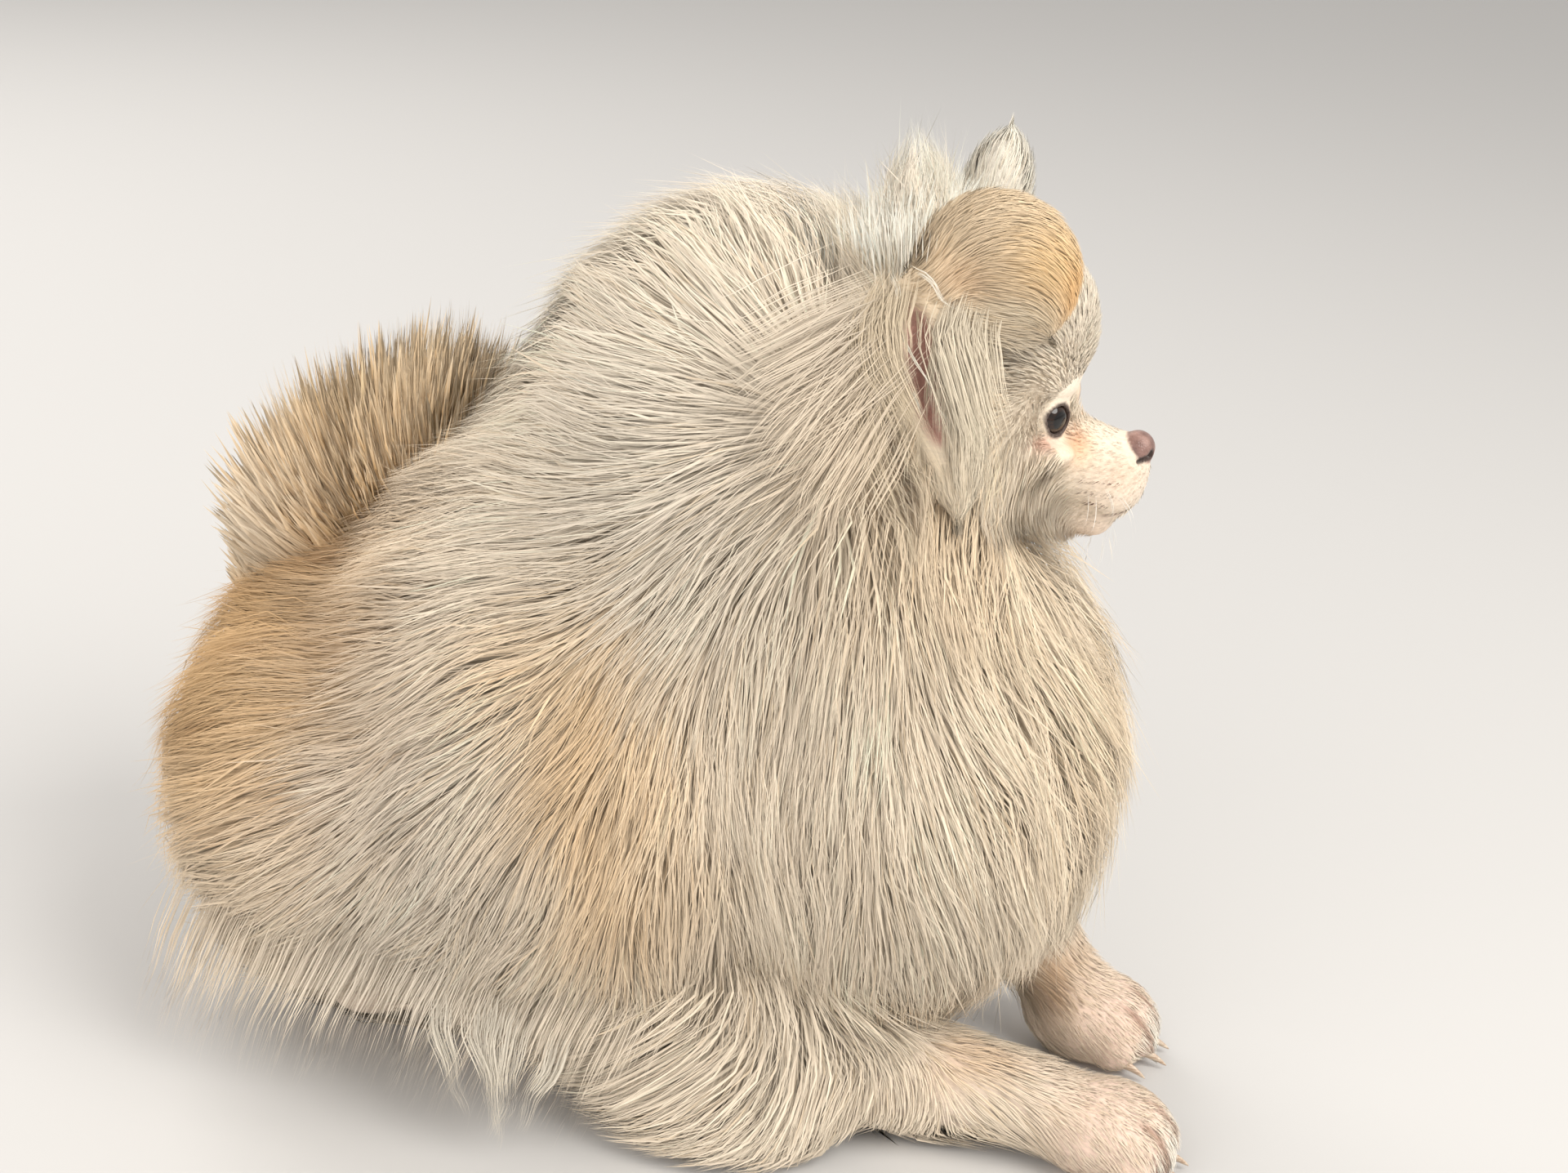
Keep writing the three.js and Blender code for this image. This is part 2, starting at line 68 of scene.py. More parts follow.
def ball(P, c, r):
    return np.sqrt((P[0] - c[0]) ** 2 + (P[1] - c[1]) ** 2 + (P[2] - c[2]) ** 2) - r


def blend(a, b, k):
    h = np.clip(0.5 + 0.5 * (b - a) / k, 0, 1)
    return b * (1 - h) + a * h - k * h * (1 - h)


def carve(a, b, k):
    return -blend(-a, b, k)


def ramp(x, a, b):
    t = np.clip((np.asarray(x) - a) / (b - a), 0, 1)
    return t * t * (3 - 2 * t)


def unit(v):
    return v / np.maximum(np.linalg.norm(v, axis=-1, keepdims=True), 1e-9)


def xyz(p):
    return (p[..., 0], p[..., 1], p[..., 2])


# the outer form of the coat, as the solids have it
def coat_env(P, grow=0.0, crest=True, feet=True):
    d = ell(P, (-14, 0, 113.5), (107, 112, 125))
    for c, r in (((-98, 4, 84), (80, 105, 86)), ((83.5, 0, 120.5), (80.5, 86, 99)),
                 ((31, 0, 211), (86, 88, 100)), ((90.5, 0, 192), (40.5, 54, 48))):
        d = blend(d, ell(P, c, r), 22)
    if feet:
        for s in (1, -1):
            d = blend(d, hind_env(P, s), 14)
    if crest:
        d = blend(d, ell(P, (72, 4, 300), (15, 30, 27), -8), 10)
    return d


def hind_env(P, s):
    return blend(ell(P, (-36, 40 * s, 11), (24, 13, 13)), limb(P, (-92, 38 * s, 15), (-36, 40 * s, 11), 13, 11), 6)


def face_env(P):
    d = ell(P, (86, 0, 262), (44, 46, 45))
    d = blend(d, ell(P, (90, 0, 236), (38, 50, 33)), 16)
    d = blend(d, ell(P, (111, 0, 279), (21, 28, 20)), 10)
    m = limb(P, (120, 0, 233.2), (143.5, 0, 234.2), 18, 11.2)
    m = blend(m, ell(P, (141.5, 0, 226), (11.5, 13, 10)), 6)
    m = blend(m, limb(P, (112, 0, 223), (139, 0, 216), 13, 7), 6)
    d = blend(d, m, 6)
    for s in (1, -1):
        d = carve(d, ball(P, (129, 23.5 * s, 251.5), 9), 5)
    return d


def main_env(P):
    return blend(coat_env(P, feet=False), face_env(P), 8)


def tail_env(P):
    return blend(ell(P, (-92, 20, 184), (68, 48, 62), -14), ell(P, (-138, 10, 158), (30, 44, 58), -10), 20)


LEGS = {
    "r": dict(a=(36, -47, 30), b=(150, -37, 20), ra=31, rb=16.5, paw=(173, -36, 13.5),
              feather=((40, -66, 15), (54, 25, 21))),
    "l": dict(a=(100, 38, 75), b=(146, 34, 26), ra=26, rb=17, paw=(160, 32, 13.5), feather=None),
}


def paw_form(P, c, less=0.0, knuckle=0.0):
    d = ell(P, c, (25.5 - less, 20.5 - less, 17.5 - less))
    for i in range(4):
        s = i - 1.5
        t = (c[0] + 17.5 - 3.2 * s * s, c[1] + s * 9.6, c[2] - 4.5)
        d = blend(d, ell(P, t, (9 - less, 6 - less * 0.8, 8.5 - less)), 3 - knuckle)
    return d


def leg_env(P, k, feather=True):
    g = LEGS[k]
    d = limb(P, g["a"], g["b"], g["ra"], g["rb"])
    d = blend(d, paw_form(P, g["paw"]), 10)
    if feather and g["feather"]:
        d = blend(d, ell(P, *g["feather"]), 14)
    return d


EARS = {
    "r": dict(dome=(103, -31, 299), dome_r=(25, 16, 24), dome_t=14, lobe=(90, -42, 263), lobe_r=(14, 12, 38), lobe_t=-18),
    "l": dict(dome=(90, 32, 299), dome_r=(13, 13, 29), dome_t=8, lobe=(82, 40, 262), lobe_r=(14, 13, 34), lobe_t=-12),
}


def ear_env(P, k, less=0.0):
    g = EARS[k]
    q = lambda r: tuple(v - less for v in r)
    return blend(ell(P, g["dome"], q(g["dome_r"]), g["dome_t"]), ell(P, g["lobe"], q(g["lobe_r"]), g["lobe_t"]), 12)


# ------------------------------------------------------------------- the skin
COAT_DEPTH = 27.0          # how far the body's skin lies inside the tips of the coat
EYE_C, EYE_R = (118.6, 13.2, 251.0), 8.4
EYE_AXIS = unit(np.array([0.84, 0.54, 0.02]))       # which way the left eye looks
TAIL_CORE = [(-138, 10, 116), (-126, 14, 142), (-92, 18, 160), (-50, 20, 184)]
MOUTH = [(151.5, 0.0, 223.6), (148.5, 4.6, 221.8), (144.5, 8.0, 219.2), (139.5, 10.6, 217.0),
         (133.5, 12.6, 216.4), (127.5, 14.2, 217.0), (122.5, 15.2, 218.6)]


def eye_local(P, s):
    """Distance along the eye's axis, and the two offsets across it."""
    w = (EYE_AXIS[0], EYE_AXIS[1] * s, EYE_AXIS[2])
    a = unit(np.array([-w[1], w[0], 0.0])) * s       # across, towards the back of the head
    a = -a if a[0] > 0 else a
    u = np.cross(w, a)
    u = u if u[2] > 0 else -u
    tilt = math.radians(16)                          # inner corner low, outer corner high
    a, u = (math.cos(tilt) * a + math.sin(tilt) * u, math.cos(tilt) * u - math.sin(tilt) * a)
    x, y, z = P[0] - EYE_C[0], P[1] - EYE_C[1] * s, P[2] - EYE_C[2]
    dot = lambda v: x * v[0] + y * v[1] + z * v[2]
    return dot(w), dot(a), dot(u)


def eye_hole(P, s):
    w, a, u = eye_local(P, s)
    # an almond: two arcs that meet in corners
    q = np.sqrt((a / 5.1) ** 2 + (u / (4.5 - 0.035 * a * a)) ** 2)
    return np.maximum((q - 1) * 4.4, 2.6 - w)


def face_skin(P):
    d = ell(P, (86, 0, 261), (38, 37, 37))
    d = blend(d, ell(P, (92, 0, 236), (32, 39, 28)), 16)
    d = blend(d, ell(P, (111, 0, 278), (19.6, 25, 18.6)), 10)
    d = blend(d, ell(P, (116, 0, 266), (12.5, 16, 11)), 8)
    m = limb(P, (120, 0, 233.2), (143.5, 0, 234.4), 16.8, 10.4)
    m = blend(m, ell(P, (141.5, 0, 226), (10.6, 12.0, 9.2)), 6)
    m = blend(m, limb(P, (112, 0, 222.5), (138.4, 0, 215.8), 12, 6.4), 5)
    d = blend(d, m, 6)
    for s in (1, -1):
        d = carve(d, ball(P, (129.6, 23.8 * s, 251.0), 9.4), 5)
        d = blend(d, ell(P, (118.5, 12.5 * s, 261.5), (8.5, 8.0, 5.0)), 9)      # brow
        d = blend(d, ell(P, (122.5, 17 * s, 240.6), (9, 6.5, 4.4)), 5)         # cheekbone
        d = blend(d, ball(P, (EYE_C[0], EYE_C[1] * s, EYE_C[2]), EYE_R + 1.15), 2.2)
        d = carve(d, eye_hole(P, s), 0.7)
    # mouth: a fold from the front of the lips back to the corner
    for s in (1, -1):
        for a, b in zip(MOUTH[:-1], MOUTH[1:]):
            d = carve(d, limb(P, (a[0], a[1] * s, a[2]), (b[0], b[1] * s, b[2]), 0.85, 0.85), 1.1)
    # nose leather with its nostrils and the groove below it
    n = ell(P, (149.2, 0, 240.2), (5.5, 6.3, 5.7), 12)
    d = blend(d, n, 1.0)
    for s in (1, -1):
        d = carve(d, ell(P, (154.0, 2.9 * s, 239.6), (2.3, 1.25, 1.5)), 0.7)
        d = carve(d, limb(P, (153.4, 3.6 * s, 239.0), (150.2, 6.6 * s, 238.0), 0.95, 0.45), 0.6)
    d = carve(d, limb(P, (155.4, 0, 240.5), (153.2, 0, 226.0), 0.45, 0.5), 0.8)
    return d


def ear_skin(P, k):
    g = EARS[k]
    side = -1 if k == "r" else 1
    d = ear_env(P, k, 2.2 if k == "r" else 3.0)
    h = (g["lobe"][0] - 2.5, g["lobe"][1] + side * 11.5, g["lobe"][2] + 7)
    d = carve(d, ell(P, h, (5.2, 9.5, 23), g["lobe_t"]), 3)
    # the dark fold under the dome
    if k == "r":
        d = carve(d, limb(P, (99, -50, 284), (117, -41, 286), 1.8, 0.5), 3)
    return d


def tail_skin(P):
    d = None
    for i, (a, b) in enumerate(zip(TAIL_CORE[:-1], TAIL_CORE[1:])):
        e = limb(P, a, b, 9 - 1.6 * i, 9 - 1.6 * (i + 1))
        d = e if d is None else blend(d, e, 4)
    d = blend(d, limb(P, (-138, 10, 116), (-104, 4, 84), 10, 22), 14)
    return blend(d, limb(P, (-92, 16, 158), (-60, 10, 128), 7, 14), 16)


def leg_skin(P, k):
    g = LEGS[k]
    if k == "r":
        d = limb(P, (60, -44, 27), g["b"], 20, 13.4)
        d = blend(d, limb(P, (12, -36, 82), (58, -44, 27), 26, 20), 14)
    else:
        d = limb(P, (92, 34, 88), g["b"], 22, 14.0)
    return blend(d, paw_form(P, g["paw"], 1.5, 0.8), 8)


def skin_parts(P):
    body = coat_env(P, crest=False, feet=False) + COAT_DEPTH
    hind = np.minimum(hind_env(P, 1), hind_env(P, -1)) + 2.0
    for s in (1, -1):
        hind = blend(hind, limb(P, (-90, 38 * s, 16), (-80, 36 * s, 62), 13, 30), 10)
        hind = blend(hind, limb(P, (-80, 36 * s, 62), (-36, 38 * s, 20), 20, 12), 10)
    return dict(body=body, hind=hind, face=face_skin(P), tail=tail_skin(P), leg_r=leg_skin(P, "r"),
                leg_l=leg_skin(P, "l"), ear_r=ear_skin(P, "r"), ear_l=ear_skin(P, "l"))


def skin_field(P):
    s = skin_parts(P)
    d = blend(s["body"], s["hind"], 12)
    d = blend(d, s["face"], 12)
    d = blend(d, s["tail"], 12)
    d = blend(d, s["leg_r"], 10)
    d = blend(d, s["leg_l"], 10)
    d = blend(d, s["ear_r"], 3.5)
    d = blend(d, s["ear_l"], 3.5)
    return np.maximum(d, 0.35 - P[2])


def graded(parts):
    out = [parts[0][0]]
    for a, b, h in parts:
        n = max(1, round((b - a) / h))
        out += list(a + (b - a) * (np.arange(n) + 1) / n)
    return np.array(out, dtype=np.float64)


def surface(f, ax):
    """The zero surface of f on a rectilinear grid: points and quads."""
    n = [len(a) for a in ax]
    V = np.empty(n, F32)
    Y, Z = ax[1][None, :, None].astype(F32), ax[2][None, None, :].astype(F32)
    for i in range(0, n[0], 24):
        V[i:i + 24] = np.broadcast_to(f((ax[0][i:i + 24, None, None].astype(F32), Y, Z)), V[i:i + 24].shape)
    S = V < 0
    cnt = np.zeros([m - 1 for m in n], np.int8)
    corners = [(i, j, k) for i in (0, 1) for j in (0, 1) for k in (0, 1)]
    for o in corners:
        cnt += S[o[0]:n[0] - 1 + o[0], o[1]:n[1] - 1 + o[1], o[2]:n[2] - 1 + o[2]]
    cell = np.argwhere((cnt > 0) & (cnt < 8))
    vid = -np.ones(cnt.shape, np.int32)
    vid[cell[:, 0], cell[:, 1], cell[:, 2]] = np.arange(len(cell))
    val = {o: V[cell[:, 0] + o[0], cell[:, 1] + o[1], cell[:, 2] + o[2]] for o in corners}
    acc, hits = np.zeros((len(cell), 3)), np.zeros(len(cell))
    for a in corners:
        for m in range(3):
            if a[m]:
                continue
            b = list(a); b[m] = 1
            va, vb = val[a], val[tuple(b)]
            on = (va < 0) != (vb < 0)
            t = np.where(on, va / np.where(on, va - vb, 1), 0)
            p = np.array(a, float)[None] + t[:, None] * (np.array(b, float) - np.array(a, float))
            acc += np.where(on[:, None], p, 0)
            hits += on
    acc /= hits[:, None]
    pts = np.stack([ax[m][cell[:, m]] + acc[:, m] * (ax[m][cell[:, m] + 1] - ax[m][cell[:, m]]) for m in range(3)], -1)
    size = np.stack([ax[m][cell[:, m] + 1] - ax[m][cell[:, m]] for m in range(3)], -1).min(-1)
    quads = []
    for axis in range(3):
        sl = lambda k: tuple(slice(k, n[i] - 1 + k) if i == axis else slice(0, n[i]) for i in range(3))
        A, B = S[sl(0)], S[sl(1)]
        w = np.argwhere(A != B)
        inside = A[w[:, 0], w[:, 1], w[:, 2]]
        u, v = [(1, 2), (2, 0), (0, 1)][axis]
        ok = (w[:, u] > 0) & (w[:, v] > 0) & (w[:, u] < n[u] - 1) & (w[:, v] < n[v] - 1)
        w, inside = w[ok], inside[ok]

        def g(du, dv):
            q = w.copy(); q[:, u] -= du; q[:, v] -= dv
            return vid[q[:, 0], q[:, 1], q[:, 2]]
        q = np.stack([g(1, 1), g(0, 1), g(0, 0), g(1, 0)], -1)
        q[~inside] = q[~inside][:, ::-1]
        quads.append(q)
    return pts, np.concatenate(quads), size


def gradient(f, p, e=0.12):
    d = f(xyz(p))
    g = np.stack([f(xyz(p + np.eye(3)[m] * e)) - d for m in range(3)], -1) / e
    return d, g


AX = [graded([(-192, 84, 4.6), (84, 112, 1.9), (112, 158, 0.8), (158, 206, 1.9)]),
      graded([(-118, -62, 4.6), (-62, -24, 1.9), (-24, 24, 0.8), (24, 62, 1.9), (62, 118, 4.6)]),
      graded([(-4, 42, 2.0), (42, 204, 4.6), (204, 272, 0.8), (272, 334, 1.9)])]
skin_p, skin_q, skin_cell = surface(skin_field, AX)
for _ in range(2):
    d, g = gradient(skin_field, skin_p)
    gl = np.maximum((g * g).sum(-1), 0.05)
    step = (d / gl)[:, None] * g
    cap = (0.4 * skin_cell)[:, None]
    skin_p = skin_p - np.clip(step, -cap, cap)
skin_n = unit(gradient(skin_field, skin_p, 0.3)[1])
parts_at = skin_parts(xyz(skin_p))
PART_NAMES = list(parts_at)
skin_part = np.argmin(np.stack([parts_at[k] for k in PART_NAMES]), 0)
skin_t = np.concatenate([skin_q[:, [0, 1, 2]], skin_q[:, [0, 2, 3]]])
print("skin", len(skin_p), "points", len(skin_t), "triangles")


# ------------------------------------------------------------- colours and marks
def lin(*c):
    c = np.array(c, dtype=float) / 255
    return np.where(c <= 0.04045, c / 12.92, ((c + 0.055) / 1.055) ** 2.4)


IVORY, CREAM, WARM = lin(242, 233, 219), lin(238, 223, 202), lin(236, 213, 182)
GREY = lin(234, 224, 208)
APRICOT, TAN, ORANGE = lin(226, 190, 142), lin(206, 170, 126), lin(216, 160, 100)
BROWN, DARK = lin(124, 88, 58), lin(60, 42, 34)
PINK, FLESH = lin(214, 164, 150), lin(226, 190, 172)


def waves(P, seed, size, n=7):
    """A smooth random value near -1..1 that varies over about `size` mm."""
    r = np.random.default_rng(seed)
    k = r.normal(size=(n, 3)); k = unit(k) * (2 * np.pi / size) * r.uniform(0.6, 1.5, (n, 1))
    ph = r.uniform(0, 2 * np.pi, n)
    return np.sin(P @ k.T + ph).sum(-1) / math.sqrt(n) / 1.2


def near(P, c, r):
    d = (P - np.asarray(c, float)) / (np.asarray(r, float) if np.ndim(r) else float(r))
    return np.exp(-(d * d).sum(-1))


def mix(a, b, t):
    t = np.asarray(t)[..., None]
    return a * (1 - t) + b * t


BOTH = lambda c: (c, (c[0], -c[1], c[2]))
MARKS = [
    # the rump and thighs are tan, streaked darker towards the back
    ((-130, -33, 161), (55, 60, 60), TAN, 0.75, True), ((-92, -75, 148), (48, 50, 42), TAN, 0.70, True),
    ((-150, -30, 134), (45, 60, 50), TAN, 0.75, True), ((-112, -85, 122), (36, 40, 30), APRICOT, 0.5, True),
    ((-150, 0, 95), (40, 60, 40), APRICOT, 0.35, False),
    # apricot patches along the flank
    ((-6, -93, 188), (20, 30, 20), APRICOT, 0.62, True), ((10, -98, 170), (20, 30, 20), APRICOT, 0.62, True),
    ((14, -106, 137), (19, 30, 26), APRICOT, 0.55, True), ((25, -104, 107), (22, 30, 26), APRICOT, 0.5, True),
    ((-2, -100, 160), (22, 30, 24), APRICOT, 0.4, True),
    # warm cream on cheeks, throat and chest
    ((147, -30, 166), (34, 44, 46), WARM, 0.6, True), ((114, -40, 234), (26, 30, 34), WARM, 0.75, True),
    ((96, -60, 236), (26, 26, 40), WARM, 0.6, True), ((66, -66, 262), (24, 30, 34), WARM, 0.4, True),
    # cool, pale mane and haunch
    ((-52, -92, 120), (40, 40, 60), IVORY, 0.5, True), ((10, -60, 262), (60, 40, 40), IVORY, 0.45, True),
    ((30, -80, 222), (30, 30, 26), GREY, 0.6, True), ((60, 0, 320), (50, 50, 26), IVORY, 0.8, False),
    ((-20, -86, 205), (34, 34, 28), GREY, 0.55, True), ((20, -80, 262), (26, 30, 16), GREY, 0.4, True),
    # wrists
    ((145, 17, 37), (13, 14, 14), ORANGE, 0.45, False), ((127, -49, 40), (13, 12, 10), ORANGE, 0.3, False),
]


def coat_mark(P):
    c = np.broadcast_to(CREAM, P.shape).copy()
    jit = np.stack([waves(P, 11 + i, 34) for i in range(3)], -1) * 6
    Q = P + jit
    for at, r, col, w, both in MARKS:
        t = near(Q, at, r)
        if both:
            t = np.maximum(t, 0.9 * near(Q, BOTH(at)[1], r))
        c = mix(c, col, np.clip(t * 1.25, 0, 1) * w)
    # darker streaks in the tan rump
    s = np.clip(waves(P * (0.35, 1, 1), 21, 15) - 0.2, 0, 1) * near(P * (1, 0, 1) + (0, 0, 0), (-118, 0, 140), (55, 60, 40))
    return mix(c, lin(176, 140, 104), np.clip(s * 0.8, 0, 1))


# ---------------------------------------------------------------- mesh building
def material(name):
    m = bpy.data.materials.new(name)
    m.use_nodes = True
    m.node_tree.nodes.clear()
    return m, m.node_tree.nodes, m.node_tree.links


def node(ns, kind, **kw):
    n = ns.new(kind)
    for k, v in kw.items():
        if hasattr(n, k):
            setattr(n, k, v)
        else:
            n.inputs[k.replace("_", " ")].default_value = v
    return n


def new_mesh(name, co, loops, starts, smooth=True):
    me = bpy.data.meshes.new(name)
    me.vertices.add(len(co))
    me.vertices.foreach_set("co", np.ascontiguousarray(to_row(co), F32).ravel())
    me.loops.add(len(loops))
    me.loops.foreach_set("vertex_index", np.ascontiguousarray(loops, np.int32))
    me.polygons.add(len(starts))
    me.polygons.foreach_set("loop_start", np.ascontiguousarray(starts, np.int32))
    me.update(calc_edges=True)
    me.polygons.foreach_set("use_smooth", np.full(len(starts), smooth))
    return me


def add_object(name, me, mat):
    me.materials.append(mat)
    ob = bpy.data.objects.new(name, me)
    bpy.context.scene.collection.objects.link(ob)
    return ob


def paint(me, name, rgb):
    a = me.color_attributes.new(name, "FLOAT_COLOR", "POINT")
    a.data.foreach_set("color", np.concatenate([rgb, np.ones((len(rgb), 1))], -1).astype(F32).ravel())


def scalar(me, name, v):
    a = me.attributes.new(name, "FLOAT", "POINT")
    a.data.foreach_set("value", np.ascontiguousarray(v, F32))


def uv_map(me, name, uv):
    l = me.uv_layers.new(name=name)
    l.data.foreach_set("uv", np.ascontiguousarray(uv, F32).ravel())


def hair_material(name, rough=0.7, streak=(5.0, 0.05), low=0.93, high=1.04):
    m, ns, ln = material(name)
    out = node(ns, "ShaderNodeOutputMaterial")
    bs = node(ns, "ShaderNodeBsdfPrincipled")
    bs.inputs["Roughness"].default_value = rough
    bs.inputs["Specular IOR Level"].default_value = 0.0
    tint = node(ns, "ShaderNodeAttribute", attribute_name="tint")
    uv = node(ns, "ShaderNodeUVMap", uv_map="hair")
    mp = node(ns, "ShaderNodeMapping")
    mp.inputs["Scale"].default_value = (streak[0], streak[1], 1)
    no = node(ns, "ShaderNodeTexNoise")
    no.inputs["Scale"].default_value = 1.0
    no.inputs["Detail"].default_value = 1.0
    no.inputs["Roughness"].default_value = 0.6
    rg = node(ns, "ShaderNodeMapRange")
    rg.inputs["From Min"].default_value, rg.inputs["From Max"].default_value = 0.28, 0.72
    rg.inputs["To Min"].default_value, rg.inputs["To Max"].default_value = low, high
    mul = node(ns, "ShaderNodeVectorMath", operation="SCALE")
    bump = node(ns, "ShaderNodeBump")
    bump.inputs["Strength"].default_value = 0.4
    bump.inputs["Distance"].default_value = 0.0003
    ln.new(uv.outputs["UV"], mp.inputs["Vector"])
    ln.new(mp.outputs["Vector"], no.inputs["Vector"])
    ln.new(no.outputs["Fac"], rg.inputs["Value"])
    ln.new(tint.outputs["Color"], mul.inputs[0])
    ln.new(rg.outputs["Result"], mul.inputs["Scale"])
    ln.new(mul.outputs["Vector"], bs.inputs["Base Color"])
    ln.new(no.outputs["Fac"], bump.inputs["Height"])
    ln.new(bump.outputs["Normal"], bs.inputs["Normal"])
    ln.new(bs.outputs["BSDF"], out.inputs["Surface"])
    return m


def skin_material():
    m, ns, ln = material("skin_short_coat")
    out = node(ns, "ShaderNodeOutputMaterial")
    bs = node(ns, "ShaderNodeBsdfPrincipled")
    bs.inputs["Specular IOR Level"].default_value = 0.35
    bs.inputs["Sheen Weight"].default_value = 0.1
    tint = node(ns, "ShaderNodeAttribute", attribute_name="tint")
    wet = node(ns, "ShaderNodeAttribute", attribute_name="wet")
    tc = node(ns, "ShaderNodeTexCoord")
    # short hair that lies flat: fine streaks, drawn out along the head and limbs
    mp = node(ns, "ShaderNodeMapping")
    mp.inputs["Scale"].default_value = (420, 1300, 1100)
    no = node(ns, "ShaderNodeTexNoise")
    no.inputs["Scale"].default_value, no.inputs["Detail"].default_value = 1.0, 3.0
    peb = node(ns, "ShaderNodeTexVoronoi")
    peb.inputs["Scale"].default_value = 1500
    rg = node(ns, "ShaderNodeMapRange")
    rg.inputs["From Min"].default_value, rg.inputs["From Max"].default_value = 0.3, 0.7
    rg.inputs["To Min"].default_value, rg.inputs["To Max"].default_value = 0.88, 1.08
    mul = node(ns, "ShaderNodeVectorMath", operation="SCALE")
    ro = node(ns, "ShaderNodeMapRange")
    ro.inputs["To Min"].default_value, ro.inputs["To Max"].default_value = 0.75, 0.3
    hm = node(ns, "ShaderNodeMix")
    bump = node(ns, "ShaderNodeBump")
    bump.inputs["Strength"].default_value = 0.5
    bump.inputs["Distance"].default_value = 0.0004
    ln.new(tc.outputs["Object"], mp.inputs["Vector"])
    ln.new(tc.outputs["Object"], peb.inputs["Vector"])
    ln.new(mp.outputs["Vector"], no.inputs["Vector"])
    ln.new(no.outputs["Fac"], rg.inputs["Value"])
    ln.new(tint.outputs["Color"], mul.inputs[0])
    ln.new(rg.outputs["Result"], mul.inputs["Scale"])
    ln.new(mul.outputs["Vector"], bs.inputs["Base Color"])
    ln.new(wet.outputs["Fac"], ro.inputs["Value"])
    ln.new(ro.outputs["Result"], bs.inputs["Roughness"])
    ln.new(wet.outputs["Fac"], hm.inputs[0])
    ln.new(no.outputs["Fac"], hm.inputs[2])
    ln.new(peb.outputs["Distance"], hm.inputs[3])
    ln.new(hm.outputs[0], bump.inputs["Height"])
    ln.new(bump.outputs["Normal"], bs.inputs["Normal"])
    ln.new(bs.outputs["BSDF"], out.inputs["Surface"])
    return m


# ------------------------------------------------------------ the skin as a piece
def eye_gap(P, s):
    """Signed distance, across the lids, to the eye's opening (negative inside)."""
    w, a, u = eye_local(xyz(P), s)
    q = np.sqrt((a / 5.1) ** 2 + (u / (4.5 - 0.035 * np.minimum(a * a, 40))) ** 2)
    return np.where(w > 2, (q - 1) * 4.6, 20.0)


def face_mark(P, c):
    """Marks of the short coat and bare skin on the face, over the colour c."""
    A = P * (1, 0, 1) + np.stack([0 * P[:, 0], np.abs(P[:, 1]), 0 * P[:, 0]], -1)
    c = mix(c, lin(238, 222, 200), near(A, (128, 16, 240), (26, 22, 26)) * 0.6)
    c = mix(c, lin(232, 186, 142), np.clip(near(A, (133, 14, 245), (4.6, 6, 8)) * 1.3, 0, 1) * 0.75)   # tear line
    c = mix(c, lin(202, 128, 84), np.clip(near(A, (131.4, 13, 248.5), (3.3, 5, 6.0)) * 1.3, 0, 1) * 0.95)
    c = mix(c, lin(208, 156, 138), np.clip(near(A, (121.5, 22, 244.2), (5.5, 5, 2.4)) * 1.2, 0, 1) * 0.6)   # lower lid
    c = mix(c, lin(222, 186, 160), near(A, (145, 8, 234), (8, 6, 7)) * 0.5)
    c = mix(c, lin(226, 200, 180), near(A, (137, 0, 212), (12, 12, 7)) * 0.5)
    return c


def ear_tone(P, k):
    """The colour of an ear's hair: a tan dome with an orange front edge."""
    if k == "l":
        return np.broadcast_to(lin(244, 236, 222), P.shape).copy()
    base = np.broadcast_to(lin(230, 208, 178), P.shape).copy()
    base = mix(base, lin(234, 200, 152), np.clip(near(P, (118, -38, 306), (12, 16, 12)) * 1.2, 0, 1) * 0.8)
    base = mix(base, lin(222, 172, 112), np.clip(near(P, (126.5, -36, 297), (4.5, 14, 12)) * 1.2, 0, 1) * 0.6)
    base = mix(base, lin(242, 228, 204), near(P, (107, -46, 290), (16, 12, 5)) * 0.7)
    # painted shade at the back of the dome, beside the ear's edge
    base = mix(base, lin(198, 166, 134), near(P, (94, -44, 297), (9, 10, 7)) * 0.6)
    return mix(base, lin(240, 226, 204), (1 - ramp(P[:, 2], 279, 289)) * 0.85)


